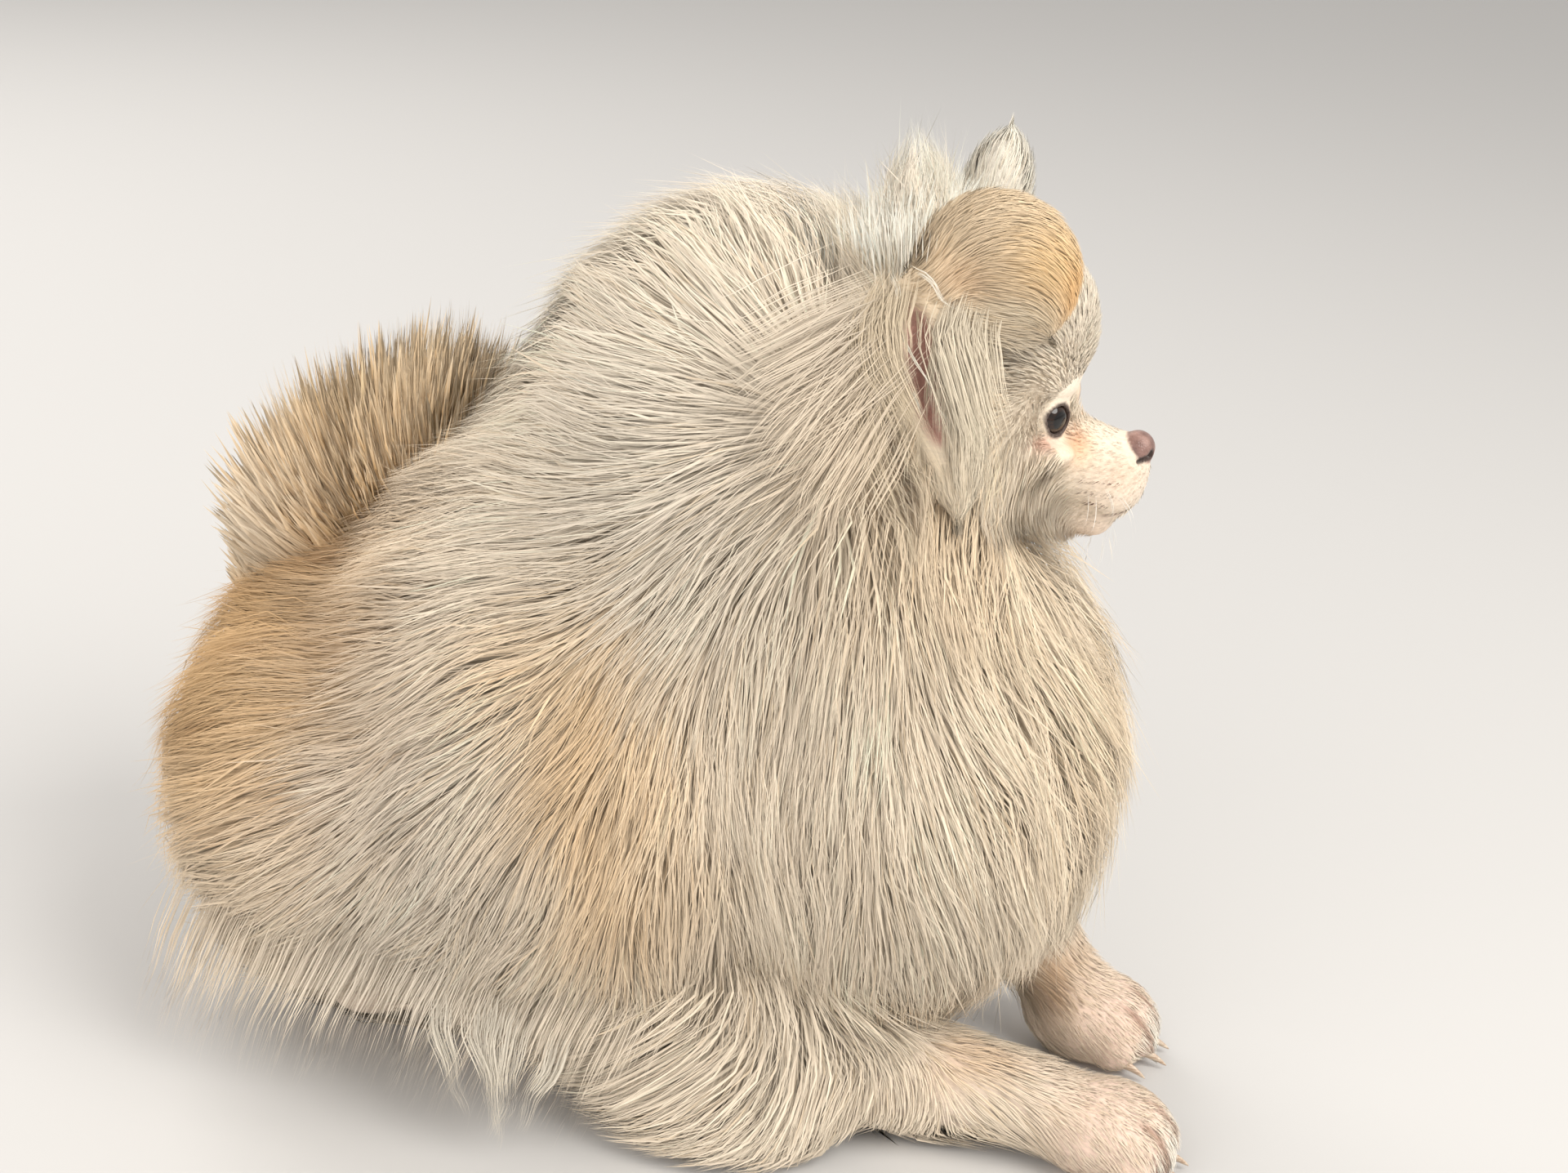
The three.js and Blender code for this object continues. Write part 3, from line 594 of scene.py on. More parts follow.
def skin_colours():
    P, names = skin_p, np.array(PART_NAMES)[skin_part]
    c = mix(coat_mark(P), lin(206, 180, 150), np.full(len(P), 0.5))
    wet = np.zeros(len(P))
    face = np.isin(names, ["face"])
    f = face & (P[:, 0] > 100)
    c[f] = mix(mix(coat_mark(P[f]), IVORY, np.full(f.sum(), 0.45)), FLESH, ramp(P[f, 0], 124, 140) * 0.25)
    c[f] = face_mark(P[f], c[f])
    d_nose = ell(xyz(P), (149.2, 0, 240.2), (5.5, 6.3, 5.7), 12)
    on_nose = ramp(-d_nose, -0.7, -0.1) * (P[:, 0] > 145)
    pig = 0.5 + 0.5 * waves(P, 5, 5.0)
    leather = mix(np.broadcast_to(lin(164, 130, 120), P.shape), lin(124, 94, 86), pig)
    # painted shade on the sides of the nose leather
    leather = mix(leather, lin(96, 68, 64), np.clip(near(P * (1, 0, 1) + np.stack([0 * P[:, 0], np.abs(P[:, 1]), 0 * P[:, 0]], -1), (148.3, 5.6, 239.4), (2.3, 2.6, 3.6)) * 1.3, 0, 1) * 0.9)
    c = mix(c, leather, on_nose)
    hole = np.full(len(P), 9.0)
    for s in (1, -1):
        hole = np.minimum(hole, ell(xyz(P), (154.0, 2.9 * s, 239.6), (2.3, 1.25, 1.5)))
        hole = np.minimum(hole, limb(xyz(P), (153.4, 3.6 * s, 239.0), (150.2, 6.6 * s, 238.0), 0.95, 0.45))
    # painted shade: the carved nostrils are painted near black inside
    c = mix(c, DARK * 0.5, ramp(-hole, -0.8, -0.1) * 0.9)
    wet = np.maximum(wet, on_nose * 0.85)
    lip = np.full(len(P), 9.0)
    for s in (1, -1):
        for a, b in zip(MOUTH[:-1], MOUTH[1:]):
            lip = np.minimum(lip, limb(xyz(P), (a[0], a[1] * s, a[2]), (b[0], b[1] * s, b[2]), 0.85, 0.85))
    c = mix(c, lin(112, 78, 68), ramp(-lip, -0.9, 0.0) * 0.85)
    for s in (1, -1):
        g = eye_gap(P, s)
        side = face & (P[:, 1] * s > 0) & (P[:, 0] > 112)
        rim = np.where(side, ramp(-g, -1.9, -0.8), 0)
        c = mix(c, lin(58, 40, 36), rim * 0.95)
        wet = np.maximum(wet, rim * 0.7)
        h = ell(xyz(P), (EARS["r" if s < 0 else "l"]["lobe"][0] - 2.5, EARS["r" if s < 0 else "l"]["lobe"][1] + s * 11.5,
                         EARS["r" if s < 0 else "l"]["lobe"][2] + 7), (5.2, 9.5, 23), EARS["r" if s < 0 else "l"]["lobe_t"])
        ear = np.isin(names, ["ear_r" if s < 0 else "ear_l"])
        c[ear] = ear_tone(P[ear], "r" if s < 0 else "l")
        # the ear's hollow is pink, painted darker further in: painted shade in the recess
        c = mix(c, mix(np.broadcast_to(PINK, P.shape), lin(176, 118, 110), ramp(-h, -1.0, 4.0)), np.where(ear, ramp(-h, -2.0, 0.3), 0))
    paws = np.isin(names, ["leg_r", "leg_l"])
    c[paws] = mix(coat_mark(P[paws]), lin(230, 196, 180), 0.25 + 0.45 * ramp(P[paws, 0], 135, 175))
    # painted shade in the creases between the toes
    for k in "rl":
        pw = LEGS[k]["paw"]
        x, y, z = P[:, 0] - pw[0], (P[:, 1] - pw[1]) / 9.6, P[:, 2]
        gap = np.minimum.reduce([np.abs(y + 1), np.abs(y), np.abs(y - 1)])
        t = ramp(x, 8, 15) * ramp(-gap, -0.22, -0.02) * paws * (np.abs(y) < 1.5)
        c = mix(c, lin(150, 112, 96), t * 0.7)
    feet = np.isin(names, ["hind"])
    c[feet] = mix(coat_mark(P[feet]), lin(228, 196, 180), np.full(feet.sum(), 0.3))
    return c, wet


skin_c, skin_wet = skin_colours()
SKIN_MAT = skin_material()
me = new_mesh("skin", skin_p, skin_q.ravel(), np.arange(len(skin_q)) * 4)
paint(me, "tint", skin_c)
scalar(me, "wet", skin_wet)
skin = add_object("skin", me, SKIN_MAT)
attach(skin, "root")
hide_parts("head", "muzzle", "lower_jaw", "nose", "ear_right", "ear_left", "neck", "chest", "shoulders", "barrel",
            "hindquarters", "hindleg_right", "hindleg_left", "tail", "foreleg_right", "forepaw_right", "foreleg_left",
            "forepaw_left")


# ------------------------------------------------------------------ the coat
class Field:
    """A field kept on a regular grid, read back with its gradient."""

    def __init__(self, f, lo, hi, h):
        self.lo, self.h = np.asarray(lo, float), float(h)
        self.n = np.ceil((np.asarray(hi, float) - self.lo) / h).astype(int) + 1
        ax = [(self.lo[i] + h * np.arange(self.n[i])).astype(F32) for i in range(3)]
        V = np.broadcast_to(f((ax[0][:, None, None], ax[1][None, :, None], ax[2][None, None, :])), self.n).astype(F32)
        self.A = np.stack([V, *np.gradient(V, h)], -1).reshape(-1, 4)

    def __call__(self, P):
        q = np.clip((P - self.lo) / self.h, 0, self.n - 1.001)
        i = q.astype(np.int64)
        t = (q - i).astype(F32)
        out = 0
        for o in ((0, 0, 0), (0, 0, 1), (0, 1, 0), (0, 1, 1), (1, 0, 0), (1, 0, 1), (1, 1, 0), (1, 1, 1)):
            w = np.prod([t[:, m] if o[m] else 1 - t[:, m] for m in range(3)], axis=0)
            idx = ((i[:, 0] + o[0]) * self.n[1] + i[:, 1] + o[1]) * self.n[2] + i[:, 2] + o[2]
            out = out + w[:, None] * self.A[idx]
        return out[:, 0].astype(float), unit(out[:, 1:].astype(float))


ENV = {
    "main": Field(main_env, (-200, -130, -24), (190, 130, 348), 3.5),
    "face": Field(main_env, (98, -44, 192), (164, 44, 308), 1.6),
    "leg_r": Field(lambda P: leg_env(P, "r"), (-30, -112, -24), (208, 4, 70), 2.6),
    "leg_l": Field(lambda P: leg_env(P, "l"), (66, -6, -24), (196, 72, 112), 2.6),
    "ear_r": Field(lambda P: ear_env(P, "r"), (66, -66, 214), (136, -8, 332), 2.0),
    "ear_l": Field(lambda P: ear_env(P, "l"), (60, 12, 218), (112, 62, 334), 2.0),
    "hind": Field(lambda P: np.minimum(hind_env(P, 1), hind_env(P, -1)) - 1.0, (-124, -80, -16), (0, 80, 44), 3.0),
}

# The lie of the coat: a place and the way the hair points there.
COMB_BODY = [
    (41, -7, 310, -0.27, 0.35, 0.92), (23, -33, 303, -0.60, 0.30, 0.74), (-1, -38, 293, -0.78, 0.25, 0.56),
    (-29, -29, 274, -0.90, 0.25, 0.30), (51, -44, 295, -0.20, -0.05, 0.95), (67, -27, 300, -0.05, 0.1, 0.98),
    (46, -66, 275, -0.80, -0.15, 0.45), (23, -72, 268, -0.95, 0.0, 0.25), (0, -73, 252, -0.96, 0.10, -0.02),
    (-11, -76, 226, -0.92, 0.10, -0.30), (60, -76, 250, -0.88, -0.20, -0.38), (78, -74, 214, -0.15, -0.08, -0.98),
    (41, -84, 237, -0.75, -0.23, -0.60), (33, -88, 198, -0.44, -0.06, -0.90), (69, -78, 188, -0.01, 0.00, -1.00),
    (95, -76, 164, 0.31, -0.31, -0.90), (114, -56, 192, 0.36, -0.11, -0.93), (133, -57, 163, 0.52, -0.05, -0.85),
    (142, -29, 180, 0.55, 0.05, -0.83), (153, -20, 164, 0.50, 0.15, -0.86), (153, -43, 132, 0.48, 0.05, -0.87),
    (160, -23, 138, 0.45, 0.10, -0.89), (124, -74, 127, 0.45, -0.10, -0.89), (146, -54, 112, 0.44, 0.05, -0.89),
    (76, -86, 123, 0.19, -0.03, -0.98), (48, -92, 106, -0.03, 0.06, -1.00), (103, -81, 97, 0.35, 0.0, -0.93),
    (18, -106, 102, -0.22, 0.02, -0.98), (-20, -111, 96, -0.37, 0.0, -0.93), (-11, -101, 59, -0.33, -0.1, -0.94),
    (-49, -106, 121, -0.60, 0.0, -0.80), (-85, -87, 134, -0.88, 0.0, -0.47), (-120, -72, 135, -0.97, 0.1, -0.22),
    (-147, -34, 140, -0.85, 0.2, -0.40), (-108, -97, 104, -0.90, 0.0, -0.44), (-93, -99, 70, -0.78, 0.0, -0.62),
    (-56, -90, 169, -0.90, 0.05, -0.44), (-28, -96, 177, -0.78, -0.15, -0.60), (-24, -105, 155, -0.62, -0.10, -0.78),
    (70, -64, 268, -0.85, -0.25, 0.05), (70, -58, 286, -0.60, -0.10, 0.75), (76, -68, 236, -0.55, -0.30, -0.78),
    (3, -107, 147, -0.32, -0.10, -0.94), (-80, -67, 178, -0.95, 0.10, -0.28), (-143, -72, 115, -0.92, 0.1, -0.36),
    (-136, -87, 94, -0.90, 0.1, -0.42), (-51, -67, 205, -0.95, 0.05, -0.28), (-35, -54, 236, -0.93, 0.15, 0.0),
    (118, -36, 220, 0.27, -0.30, -0.92), (99, -52, 231, 0.18, -0.16, -0.96), (19, -95, 169, -0.30, -0.20, -0.93),
    (57, -83, 160, 0.01, -0.05, -1.00), (115, -72, 158, 0.38, -0.14, -0.91), (-70, -100, 84, -0.66, 0.0, -0.75),
    (41, -91, 80, -0.01, 0.0, -1.0), (78, -81, 86, 0.15, 0.0, -0.98),
    # midline, rump, under the chest
    (128, 0, 186, 0.45, 0, -0.89), (160, 0, 150, 0.42, 0, -0.90), (160, 0, 118, 0.36, 0, -0.93), (146, 0, 72, 0.25, 0, -0.96),
    (-60, 0, 225, -0.97, 0, 0.1), (-20, 0, 270, -0.92, 0, 0.38), (20, 0, 305, -0.66, 0, 0.75), (-165, 0, 110, -0.75, 0, -0.66),
    (-160, -40, 70, -0.75, 0, -0.66), (-120, -70, 40, -0.75, -0.1, -0.66), (-60, -90, 30, -0.5, -0.1, -0.86),
    (0, -90, 30, -0.3, -0.15, -0.94), (-150, 0, 150, -0.95, 0, -0.2), (-165, 0, 60, -0.7, 0, -0.7),
]
COMB_HEAD = [
    (150, 0, 247, -1, 0, 0.1), (140, 0, 248, -1, 0, 0.15), (133, -6, 251, -0.9, -0.2, 0.4), (145, -9, 236, -0.9, -0.3, -0.1),
    (138, -13, 232, -0.9, -0.25, -0.25), (130, -17, 232, -0.85, -0.35, -0.4), (140, -12, 222, -0.82, -0.15, -0.55),
    (150, -5, 230, -0.75, -0.35, -0.55), (143, 0, 211, -0.75, 0, -0.65), (135, -6, 207, -0.7, 0, -0.72), (128, -5, 198, -0.1, 0, -1),
    (122, -24, 240, -0.78, -0.3, -0.55), (114, -36, 238, -0.15, -0.35, -0.92), (115, -27, 252, -0.85, -0.45, -0.15), (122, -22, 259, -0.75, -0.45, 0.4),
    (126, -17, 264, -0.4, -0.4, 0.82), (133, 0, 268, -0.1, 0, 1), (131, 0, 284, -0.4, 0, 0.92), (120, 0, 297, -0.85, 0, 0.5),
    (118, -25, 275, -0.75, -0.35, 0.35), (110, -34, 266, -0.85, -0.4, -0.1), (100, 0, 305, -0.8, 0, 0.6),
    (128, -12, 278, -0.45, -0.3, 0.84), (85, -15, 305, -0.4, -0.1, 0.9), (70, 0, 318, 0.0, 0, 1), (70, 20, 316, 0.0, 0.1, 1),
    (105, -44, 232, 0.05, -0.25, -0.96), (108, -40, 216, 0.25, -0.2, -0.94), (122, -14, 214, -0.5, -0.2, -0.84),
]
COMB_LEG = {
    "r": [(40, -66, 34, -0.8, -0.3, -0.45), (0, -75, 20, -0.95, -0.2, -0.2), (80, -64, 26, -0.2, -0.62, -0.75),
          (112, -56, 20, 0.1, -0.5, -0.85), (62, -48, 58, 0.5, -0.3, -0.75), (90, -45, 50, 0.9, -0.1, -0.3), (130, -40, 38, 0.98, 0, -0.2),
          (150, -37, 34, 0.97, 0, -0.25), (175, -36, 30, 0.9, 0, -0.4), (192, -36, 15, 0.6, 0, -0.8), (100, -22, 30, 0.6, 0.3, -0.7),
          (135, -53, 20, 0.75, -0.25, -0.6), (170, -56, 12, 0.85, -0.2, -0.5), (170, -16, 12, 0.85, 0.2, -0.5), (55, -88, 12, -0.5, -0.7, -0.5),
          (30, -90, 12, -0.8, -0.5, -0.3), (-10, -70, 12, -0.95, -0.1, -0.3)],
    "l": [(110, 38, 84, 0.5, 0, -0.85), (128, 24, 66, 0.6, -0.25, -0.75), (142, 26, 46, 0.75, -0.2, -0.6), (150, 34, 44, 0.8, 0, -0.6),
          (165, 32, 30, 0.9, 0, -0.42), (182, 32, 12, 0.7, 0, -0.7), (158, 12, 12, 0.85, -0.25, -0.5), (158, 52, 12, 0.85, 0.25, -0.5),
          (110, 56, 50, 0.4, 0.3, -0.85), (104, 18, 60, 0.2, -0.3, -0.9)],
}


def comb_field(rows, mirror=True, reach=13.0):
    a = np.array(rows, float)
    if mirror:
        b = a[np.abs(a[:, 1]) > 0.5] * (1, -1, 1, 1, -1, 1)
        a = np.concatenate([a, b])
    C, D = a[:, :3], unit(a[:, 3:])

    def read(P):
        d2 = np.maximum((P * P).sum(-1)[:, None] + (C * C).sum(-1)[None] - 2 * P @ C.T, 0)
        w = 1 / (d2 + reach * reach) ** 2
        return unit(w @ D)
    return read


COMB = {"main": comb_field(COMB_BODY + COMB_HEAD), "face": comb_field(COMB_HEAD + COMB_BODY[:0], reach=9.0),
        "leg_r": comb_field(COMB_LEG["r"], False, 9.0), "leg_l": comb_field(COMB_LEG["l"], False, 9.0)}
COMB["hind"] = lambda P: np.broadcast_to((0.9, 0, -0.35), P.shape)

# hollows between the clumps, and their depth in mm
HOLLOWS = [((88, -72, 190), 14, 7), ((70, -85, 158), 15, 7), ((76, -84, 142), 15, 7), ((102, -74, 150), 12, 6),
           ((2, -104, 152), 14, 5), ((52, -88, 132), 14, 6), ((110, -60, 178), 12, 5), ((36, -88, 172), 14, 5),
           ((-60, -100, 104), 14, 4), ((120, -66, 118), 12, 5), ((20, -104, 72), 12, 5), ((60, -84, 206), 13, 5)]

rng = np.random.default_rng(7)


def pick_roots(mask, count, weight):
    """Points spread over the skin triangles whose first corner is in mask."""
    tri = skin_t[mask[skin_t[:, 0]]]
    a, b, c = skin_p[tri[:, 0]], skin_p[tri[:, 1]], skin_p[tri[:, 2]]
    mid = (a + b + c) / 3
    nrm = unit(skin_n[tri].sum(1))
    area = 0.5 * np.linalg.norm(np.cross(b - a, c - a), axis=1)
    p = area * weight(mid, nrm)
    cum = np.cumsum(p)
    # evenly stepped draws, so that the coat has no bald spots
    k = np.searchsorted(cum, (np.arange(count) + rng.random(count)) / count * cum[-1])
    k = np.minimum(k, len(tri) - 1)
    u, v = rng.random(count), rng.random(count)
    flip = u + v > 1
    u[flip], v[flip] = 1 - u[flip], 1 - v[flip]
    P = a[k] + u[:, None] * (b - a)[k] + v[:, None] * (c - a)[k]
    N = unit((1 - u - v)[:, None] * skin_n[tri[k, 0]] + u[:, None] * skin_n[tri[k, 1]] + v[:, None] * skin_n[tri[k, 2]])
    return P, N


def grow(R, N, L, depth, stand, env, comb, steps=12, turn=0.45, rise=1.9, wander=0.22, seed=1, push=None, steep=0.93):
    """Carries each hair out from its root and lays it along the coat.

    depth is how far its tip ends inside the coat's outer form, and stand how
    much it stands out at the end.
    """
    P = R - N * 1.0
    out = [P]
    ds = L / steps
    d = unit(N + 0.4 * comb(R))
    for k in range(steps):
        f, n = env(P)
        left = np.maximum(L - k * ds, ds)
        t = comb(P)
        w = np.stack([waves(P, seed + 3 * i, 36) for i in range(3)], -1) * wander
        t = unit(t + w)
        t = unit(t - (t * n).sum(-1, keepdims=True) * n)
        c = np.clip(rise * (-f - depth) / left, -0.5, steep)
        c = np.maximum(c, stand * ((k + 1) / steps) ** 1.5)
        goal = n * c[:, None] + t * np.sqrt(1 - c * c)[:, None]
        if push is not None:
            goal = push(P, goal)
        d = unit(d * turn + unit(goal) * (1 - turn))
        P = P + d * ds[:, None]
        P[:, 2] = np.maximum(P[:, 2], 0.6 + 0.8 * (np.arange(len(P)) % 5) / 5)
        out.append(P)
    return np.stack(out, 1)


def thin(R, cell, seed):
    """One root out of each cell of a jittered grid: the leaders of the locks."""
    r = np.random.default_rng(seed)
    q = np.floor((R + r.uniform(0, cell, 3) + np.stack([waves(R, seed + i, cell * 5) for i in range(3)], -1) * cell * 0.8) / cell).astype(np.int64)
    key = (q[:, 0] * 4001 + q[:, 1]) * 4001 + q[:, 2]
    return np.unique(key, return_index=True)[1]


def gather(P, R, cell, pull, seed, ends=1.4, jitter=0.0):
    """Draws hairs towards the leader of their lock, more so at the tips."""
    lead = thin(R, cell, seed)
    kd = kdtree.KDTree(len(lead))
    for i, j in enumerate(lead):
        kd.insert(R[j], i)
    kd.balance()
    own = np.array([kd.find(r)[1] for r in R])
    s = np.linspace(0, 1, P.shape[1]) ** ends
    r = np.random.default_rng(seed + 90)
    pull = pull * r.uniform(0.55, 1.15, len(P))
    w = np.clip(pull[:, None] * s[None], 0, 0.97)[..., None]
    G = P[lead][own]
    return P * (1 - w) + G * w, own


PLACES = {5: (0, 4, 7, 10, 12), 4: (0, 6, 9, 12), 3: (0, 7, 12)}
COAT = []                # finished batches of hair


def sph_uv(R, c):
    d = R - np.asarray(c, float)
    return np.stack([np.arctan2(d[:, 1], d[:, 0]), d[:, 2] / np.linalg.norm(d, axis=1)], -1)


def cyl_uv(R, c, axis):
    d = R - np.asarray(c, float)
    o = [i for i in range(3) if i != axis]
    return np.stack([np.arctan2(d[:, o[1]], d[:, o[0]]), d[:, axis] / 40], -1)


def lock_batch(name, P, width, colour, up, uv, flat=0.55, rings=5, profile=None, slot="coat"):
    """Keeps a batch of hairs: P is (hairs, points, 3), colour (hairs, points, 3)."""
    at = PLACES[rings] if P.shape[1] == 13 else tuple(range(P.shape[1]))
    COAT.append(dict(name=name, P=P[:, list(at)], w=width, c=colour[:, list(at)] if colour.shape[1] == P.shape[1] else colour,
                     up=up, uv=uv, flat=flat, profile=profile, slot=slot, L=np.linalg.norm(np.diff(P, axis=1), axis=2).sum(1)))


def shade(base, n, root=0.62, tip=1.05, spread=0.06, seed=3, rootmix=None):
    """Colour along the hair: darker at the root, as painted shade deep in the coat, and warmer there; paler at the tip.
    """
    r = np.random.default_rng(seed)
    s = np.linspace(0, 1, n)[None, :, None]
    v = (1 + spread * r.normal(size=(len(base), 1, 1)))
    # painted shade: each hair darkens from its tip down to its root
    k = root + (tip - root) * (s ** 0.7)
    warm = np.array([1.0, 0.955, 0.88])
    tone = k * (1 - (1 - warm) * (1 - s) * 0.7)
    c = base[:, None, :] * v * tone
    pale = (r.random(len(base)) < 0.12)[:, None, None]
    dark = (r.random(len(base)) < 0.10)[:, None, None]
    c = np.where(pale, c * 1.06, c)
    c = np.where(dark, c * np.array([0.92, 0.88, 0.82]), c)
    if rootmix is not None:
        c = c * s ** 0.8 + (1 - s ** 0.8) * rootmix
    return np.clip(c, 0.005, 0.92)


names = np.array(PART_NAMES)[skin_part]
TO_CAM = unit(np.array([190.5, -706.8, 480.0]) - (10, 0, 130))


def seen(N):
    return 0.72 + 0.5 * ramp(N @ TO_CAM, -0.35, 0.15)


# --- body, neck and crown
def body_length(P):
    L = np.full(len(P), 58.0)
    L = L + 8 * near(P, (10, 0, 250), (60, 80, 50)) + 6 * near(P, (150, 0, 150), (40, 70, 60))
    L = L + 10 * near(P, (-20, -95, 40), (60, 30, 40)) + 10 * near(P, (-20, 95, 40), (60, 30, 40))
    h = ramp(-face_env(xyz(P)), -8, 4) * ramp(P[:, 2], 215, 240)           # on the head
    L = L * (1 - h) + h * (26 - 12 * ramp(P[:, 0], 90, 118) + 16 * near(P, (70, 4, 300), (16, 34, 16)))
    return L


def body_stand(P):
    s = 0.13 + 0.34 * near(P, (20, 0, 300), (60, 70, 40)) + 0.16 * near(P, (-30, 0, 260), (50, 60, 40))
    s = s + 0.14 * near(P, (150, 0, 140), (40, 80, 80)) + 0.10 * near(P, (-150, 0, 110), (50, 90, 70))
    s = s + 0.30 * near(P, (72, 4, 305), (22, 40, 22))
    return s


is_body = (names == "body") | ((names == "face") & (skin_p[:, 0] <= 112)) | (names == "hind")
ear_zone = np.minimum(ear_env(xyz(skin_p), "r"), ear_env(xyz(skin_p), "l"))
is_body &= (ear_zone > -4) & (skin_p[:, 2] > 5)


def body_weight(P, N):
    w = seen(N) * (1 - 0.75 * ramp(-N[:, 2], 0.5, 0.9) * ramp(-P[:, 2], -45, -20))
    w = w * (1 + 1.2 * ramp(P[:, 2], 225, 262) * ramp(P[:, 0], 40, 80))     # denser on the crown and cheeks
    tail = tail_env(xyz(P))
    return w * np.where(tail < -14, 0.45, 1.0)


def body_coat(count, rings, wide, tag, deep, seed, flat=0.55):
    R, N = pick_roots(is_body, count, body_weight)
    r = np.random.default_rng(seed)
    L = body_length(R) * r.uniform(0.78, 1.12, count)
    hollow = sum(h * near(R, c, rr * 1.5) for c, rr, h in HOLLOWS)
    lump = 3.2 * waves(R, 71, 38) + 1.6 * waves(R, 72, 17)
    onhead = ramp(-face_env(xyz(R)), -8, 4) * ramp(R[:, 2], 215, 240)
    depth = (r.uniform(deep[0], deep[1], count) + lump * 0.9 + hollow) * (1 - 0.7 * onhead)
    depth = np.maximum(depth, -1.5)
    st = body_stand(R) * r.uniform(0.3, 1.5, count)
    depth = depth + st * 12
    P = grow(R, N, L, depth, st, ENV["main"], COMB["main"], seed=5, wander=0.30)
    P, _ = gather(P, R, 4.6, 0.28, seed + 1, 1.8)
    P, own = gather(P, R, 13.0, 0.30, seed + 2, 1.5)
    # a light wave, and a few loose hairs
    s = np.linspace(0, 1, 13)[None, :, None]
    side = unit(np.cross(P[:, -1] - P[:, 0], N))[:, None, :]
    P = P + side * np.sin(s * L[:, None, None] / 24 * 2 * np.pi + r.uniform(0, 6.28, (count, 1, 1))) * 0.8 * s
    P = P + s ** 1.7 * r.normal(0, 1.4, (count, 1, 3)) + np.sin(np.pi * s ** 1.5) * r.normal(0, 1.3, (count, 1, 3))
    stray = (r.random(count) < 0.13)[:, None, None]
    P = np.where(stray, P + s ** 2 * r.normal(0, 4.6, (count, 1, 3)), P)
    P[..., 2] = np.maximum(P[..., 2], 0.5)
    base = coat_mark(R * 0.35 + P[:, 7] * 0.65)
    clump = 1 + 0.05 * np.random.default_rng(seed + 5).normal(size=own.max() + 1)[own][:, None]
    col = shade(base * clump, 13, 0.95, 1.06, 0.03, seed)
    w = wide * r.uniform(0.75, 1.25, count) * (1 - 0.45 * onhead)
    up = ENV["main"](P[:, 7])[1]
    part = np.where(R[:, 1] < 0, 0, 1) + 2 * np.digitize(R[:, 0], (-60, 30)) + 6 * (R[:, 2] > 215)
    for k in np.unique(part):
        m = part == k
        c = (-5, 0, 118) if k < 6 else (78, 0, 235)
        lock_batch(f"coat_{tag}_{k:02d}", P[m], w[m], col[m], up[m], sph_uv(R[m], c), rings=rings, flat=flat)


body_coat(55000, 3, 0.19, "outer", (-1.5, 6.0), 31)
body_coat(17000, 3, 0.55, "under", (2.5, 10), 41, flat=0.3)


# --- the tail's plume, fanned out from the tail carried over the back
def tail_plume(count, rings, wide, tag, seed):
    mask = (names == "tail") & (skin_p[:, 2] > 108)
    core = np.array(TAIL_CORE, float)
    R, N = pick_roots(mask, count, lambda P, N: 0.55 + 0.9 * ramp(P[:, 2], 120, 165))
    r = np.random.default_rng(seed)
    focus = np.array([-72.0, 18.0, 92.0])
    d = R - focus
    d[:, 1] = 0
    d = unit(d)
    side = np.clip(0.55 * N[:, 1] + r.normal(0, 0.30, count), -0.85, 0.85)
    d = unit(d + side[:, None] * (0, 1, 0) + r.normal(0, 0.10, (count, 3)) + N * 0.15)
    # out to the tips of the plume
    t = np.full(count, 4.0)
    for _ in range(26):
        f = tail_env(xyz(R + d * t[:, None]))
        t = t + np.clip(-f * 0.7, 0, 8)
    L = np.minimum(t, 82) * r.uniform(0.66, 1.02, count)
    s = np.linspace(0, 1, 13)[None, :, None]
    back = unit(np.cross(d, (0, 1.0, 0)))          # bend backwards towards the tip
    P = R[:, None] + d[:, None] * L[:, None, None] * s - back[:, None] * (L[:, None, None] * 0.16 * s ** 2.2)
    P = P + np.stack([waves(R, seed + i, 30) for i in range(3)], -1)[:, None] * 3.0 * s ** 1.5
    P, _ = gather(P, R, 3.2, 0.45, seed + 1, 1.6)
    tipkey = P[:, -1]
    P, own = gather(P, tipkey, 11.0, 0.22, seed + 2, 1.8)
    n2 = unit(np.cross(d, (0, 1.0, 0)))[:, None]
    P = P + n2 * np.sin(s * L[:, None, None] / 22 * 6.28 + r.uniform(0, 6.28, (count, 1, 1))) * 0.7 * s
    P[..., 2] = np.maximum(P[..., 2], 1)
    tips = P[:, -1]
    base = np.broadcast_to(APRICOT, R.shape).copy()
    base = mix(base, lin(214, 172, 120), near(tips, (-110, 10, 170), (40, 60, 30)) * 0.6)
    base = mix(base, lin(236, 208, 168), near(tips, (-70, 10, 240), (60, 60, 26)) * 0.6)
    base = mix(base, lin(238, 228, 212), near(tips, (-152, -20, 175), (26, 40, 34)) * 0.55)
    col = shade(base, 13, 0.80, 1.08, 0.06, seed)
    s2 = np.linspace(0, 1, 13)[None, :, None]
    # dark brown plume roots: partly the hair's own darker root, partly painted shade where the plume meets the back
    col = col * ramp(s2, 0.10, 0.52) + (1 - ramp(s2, 0.10, 0.52)) * lin(128, 90, 58) * r.uniform(0.8, 1.2, (count, 1, 1))
    white = ramp(s2, 0.78, 1.0) * 0.45
    col = col * (1 - white) + white * lin(242, 232, 214)
    uv = np.stack([np.arctan2(N[:, 1], N[:, 2]), (R @ unit(core[-1] - core[0])) / 40], -1)
    lock_batch(f"tail_{tag}", P, wide * r.uniform(0.75, 1.25, count), col, unit(np.array([-0.2, 0, 0.3]) + N), uv, rings=rings,
               profile={5: (0.5, 0.85, 1.0, 0.7), 4: (0.6, 1.0, 0.8), 3: (0.7, 1.0)}[rings], slot="tail_coat")


tail_plume(12000, 3, 0.22, "fine", 51)
tail_plume(3000, 4, 1.2, "dense", 57)


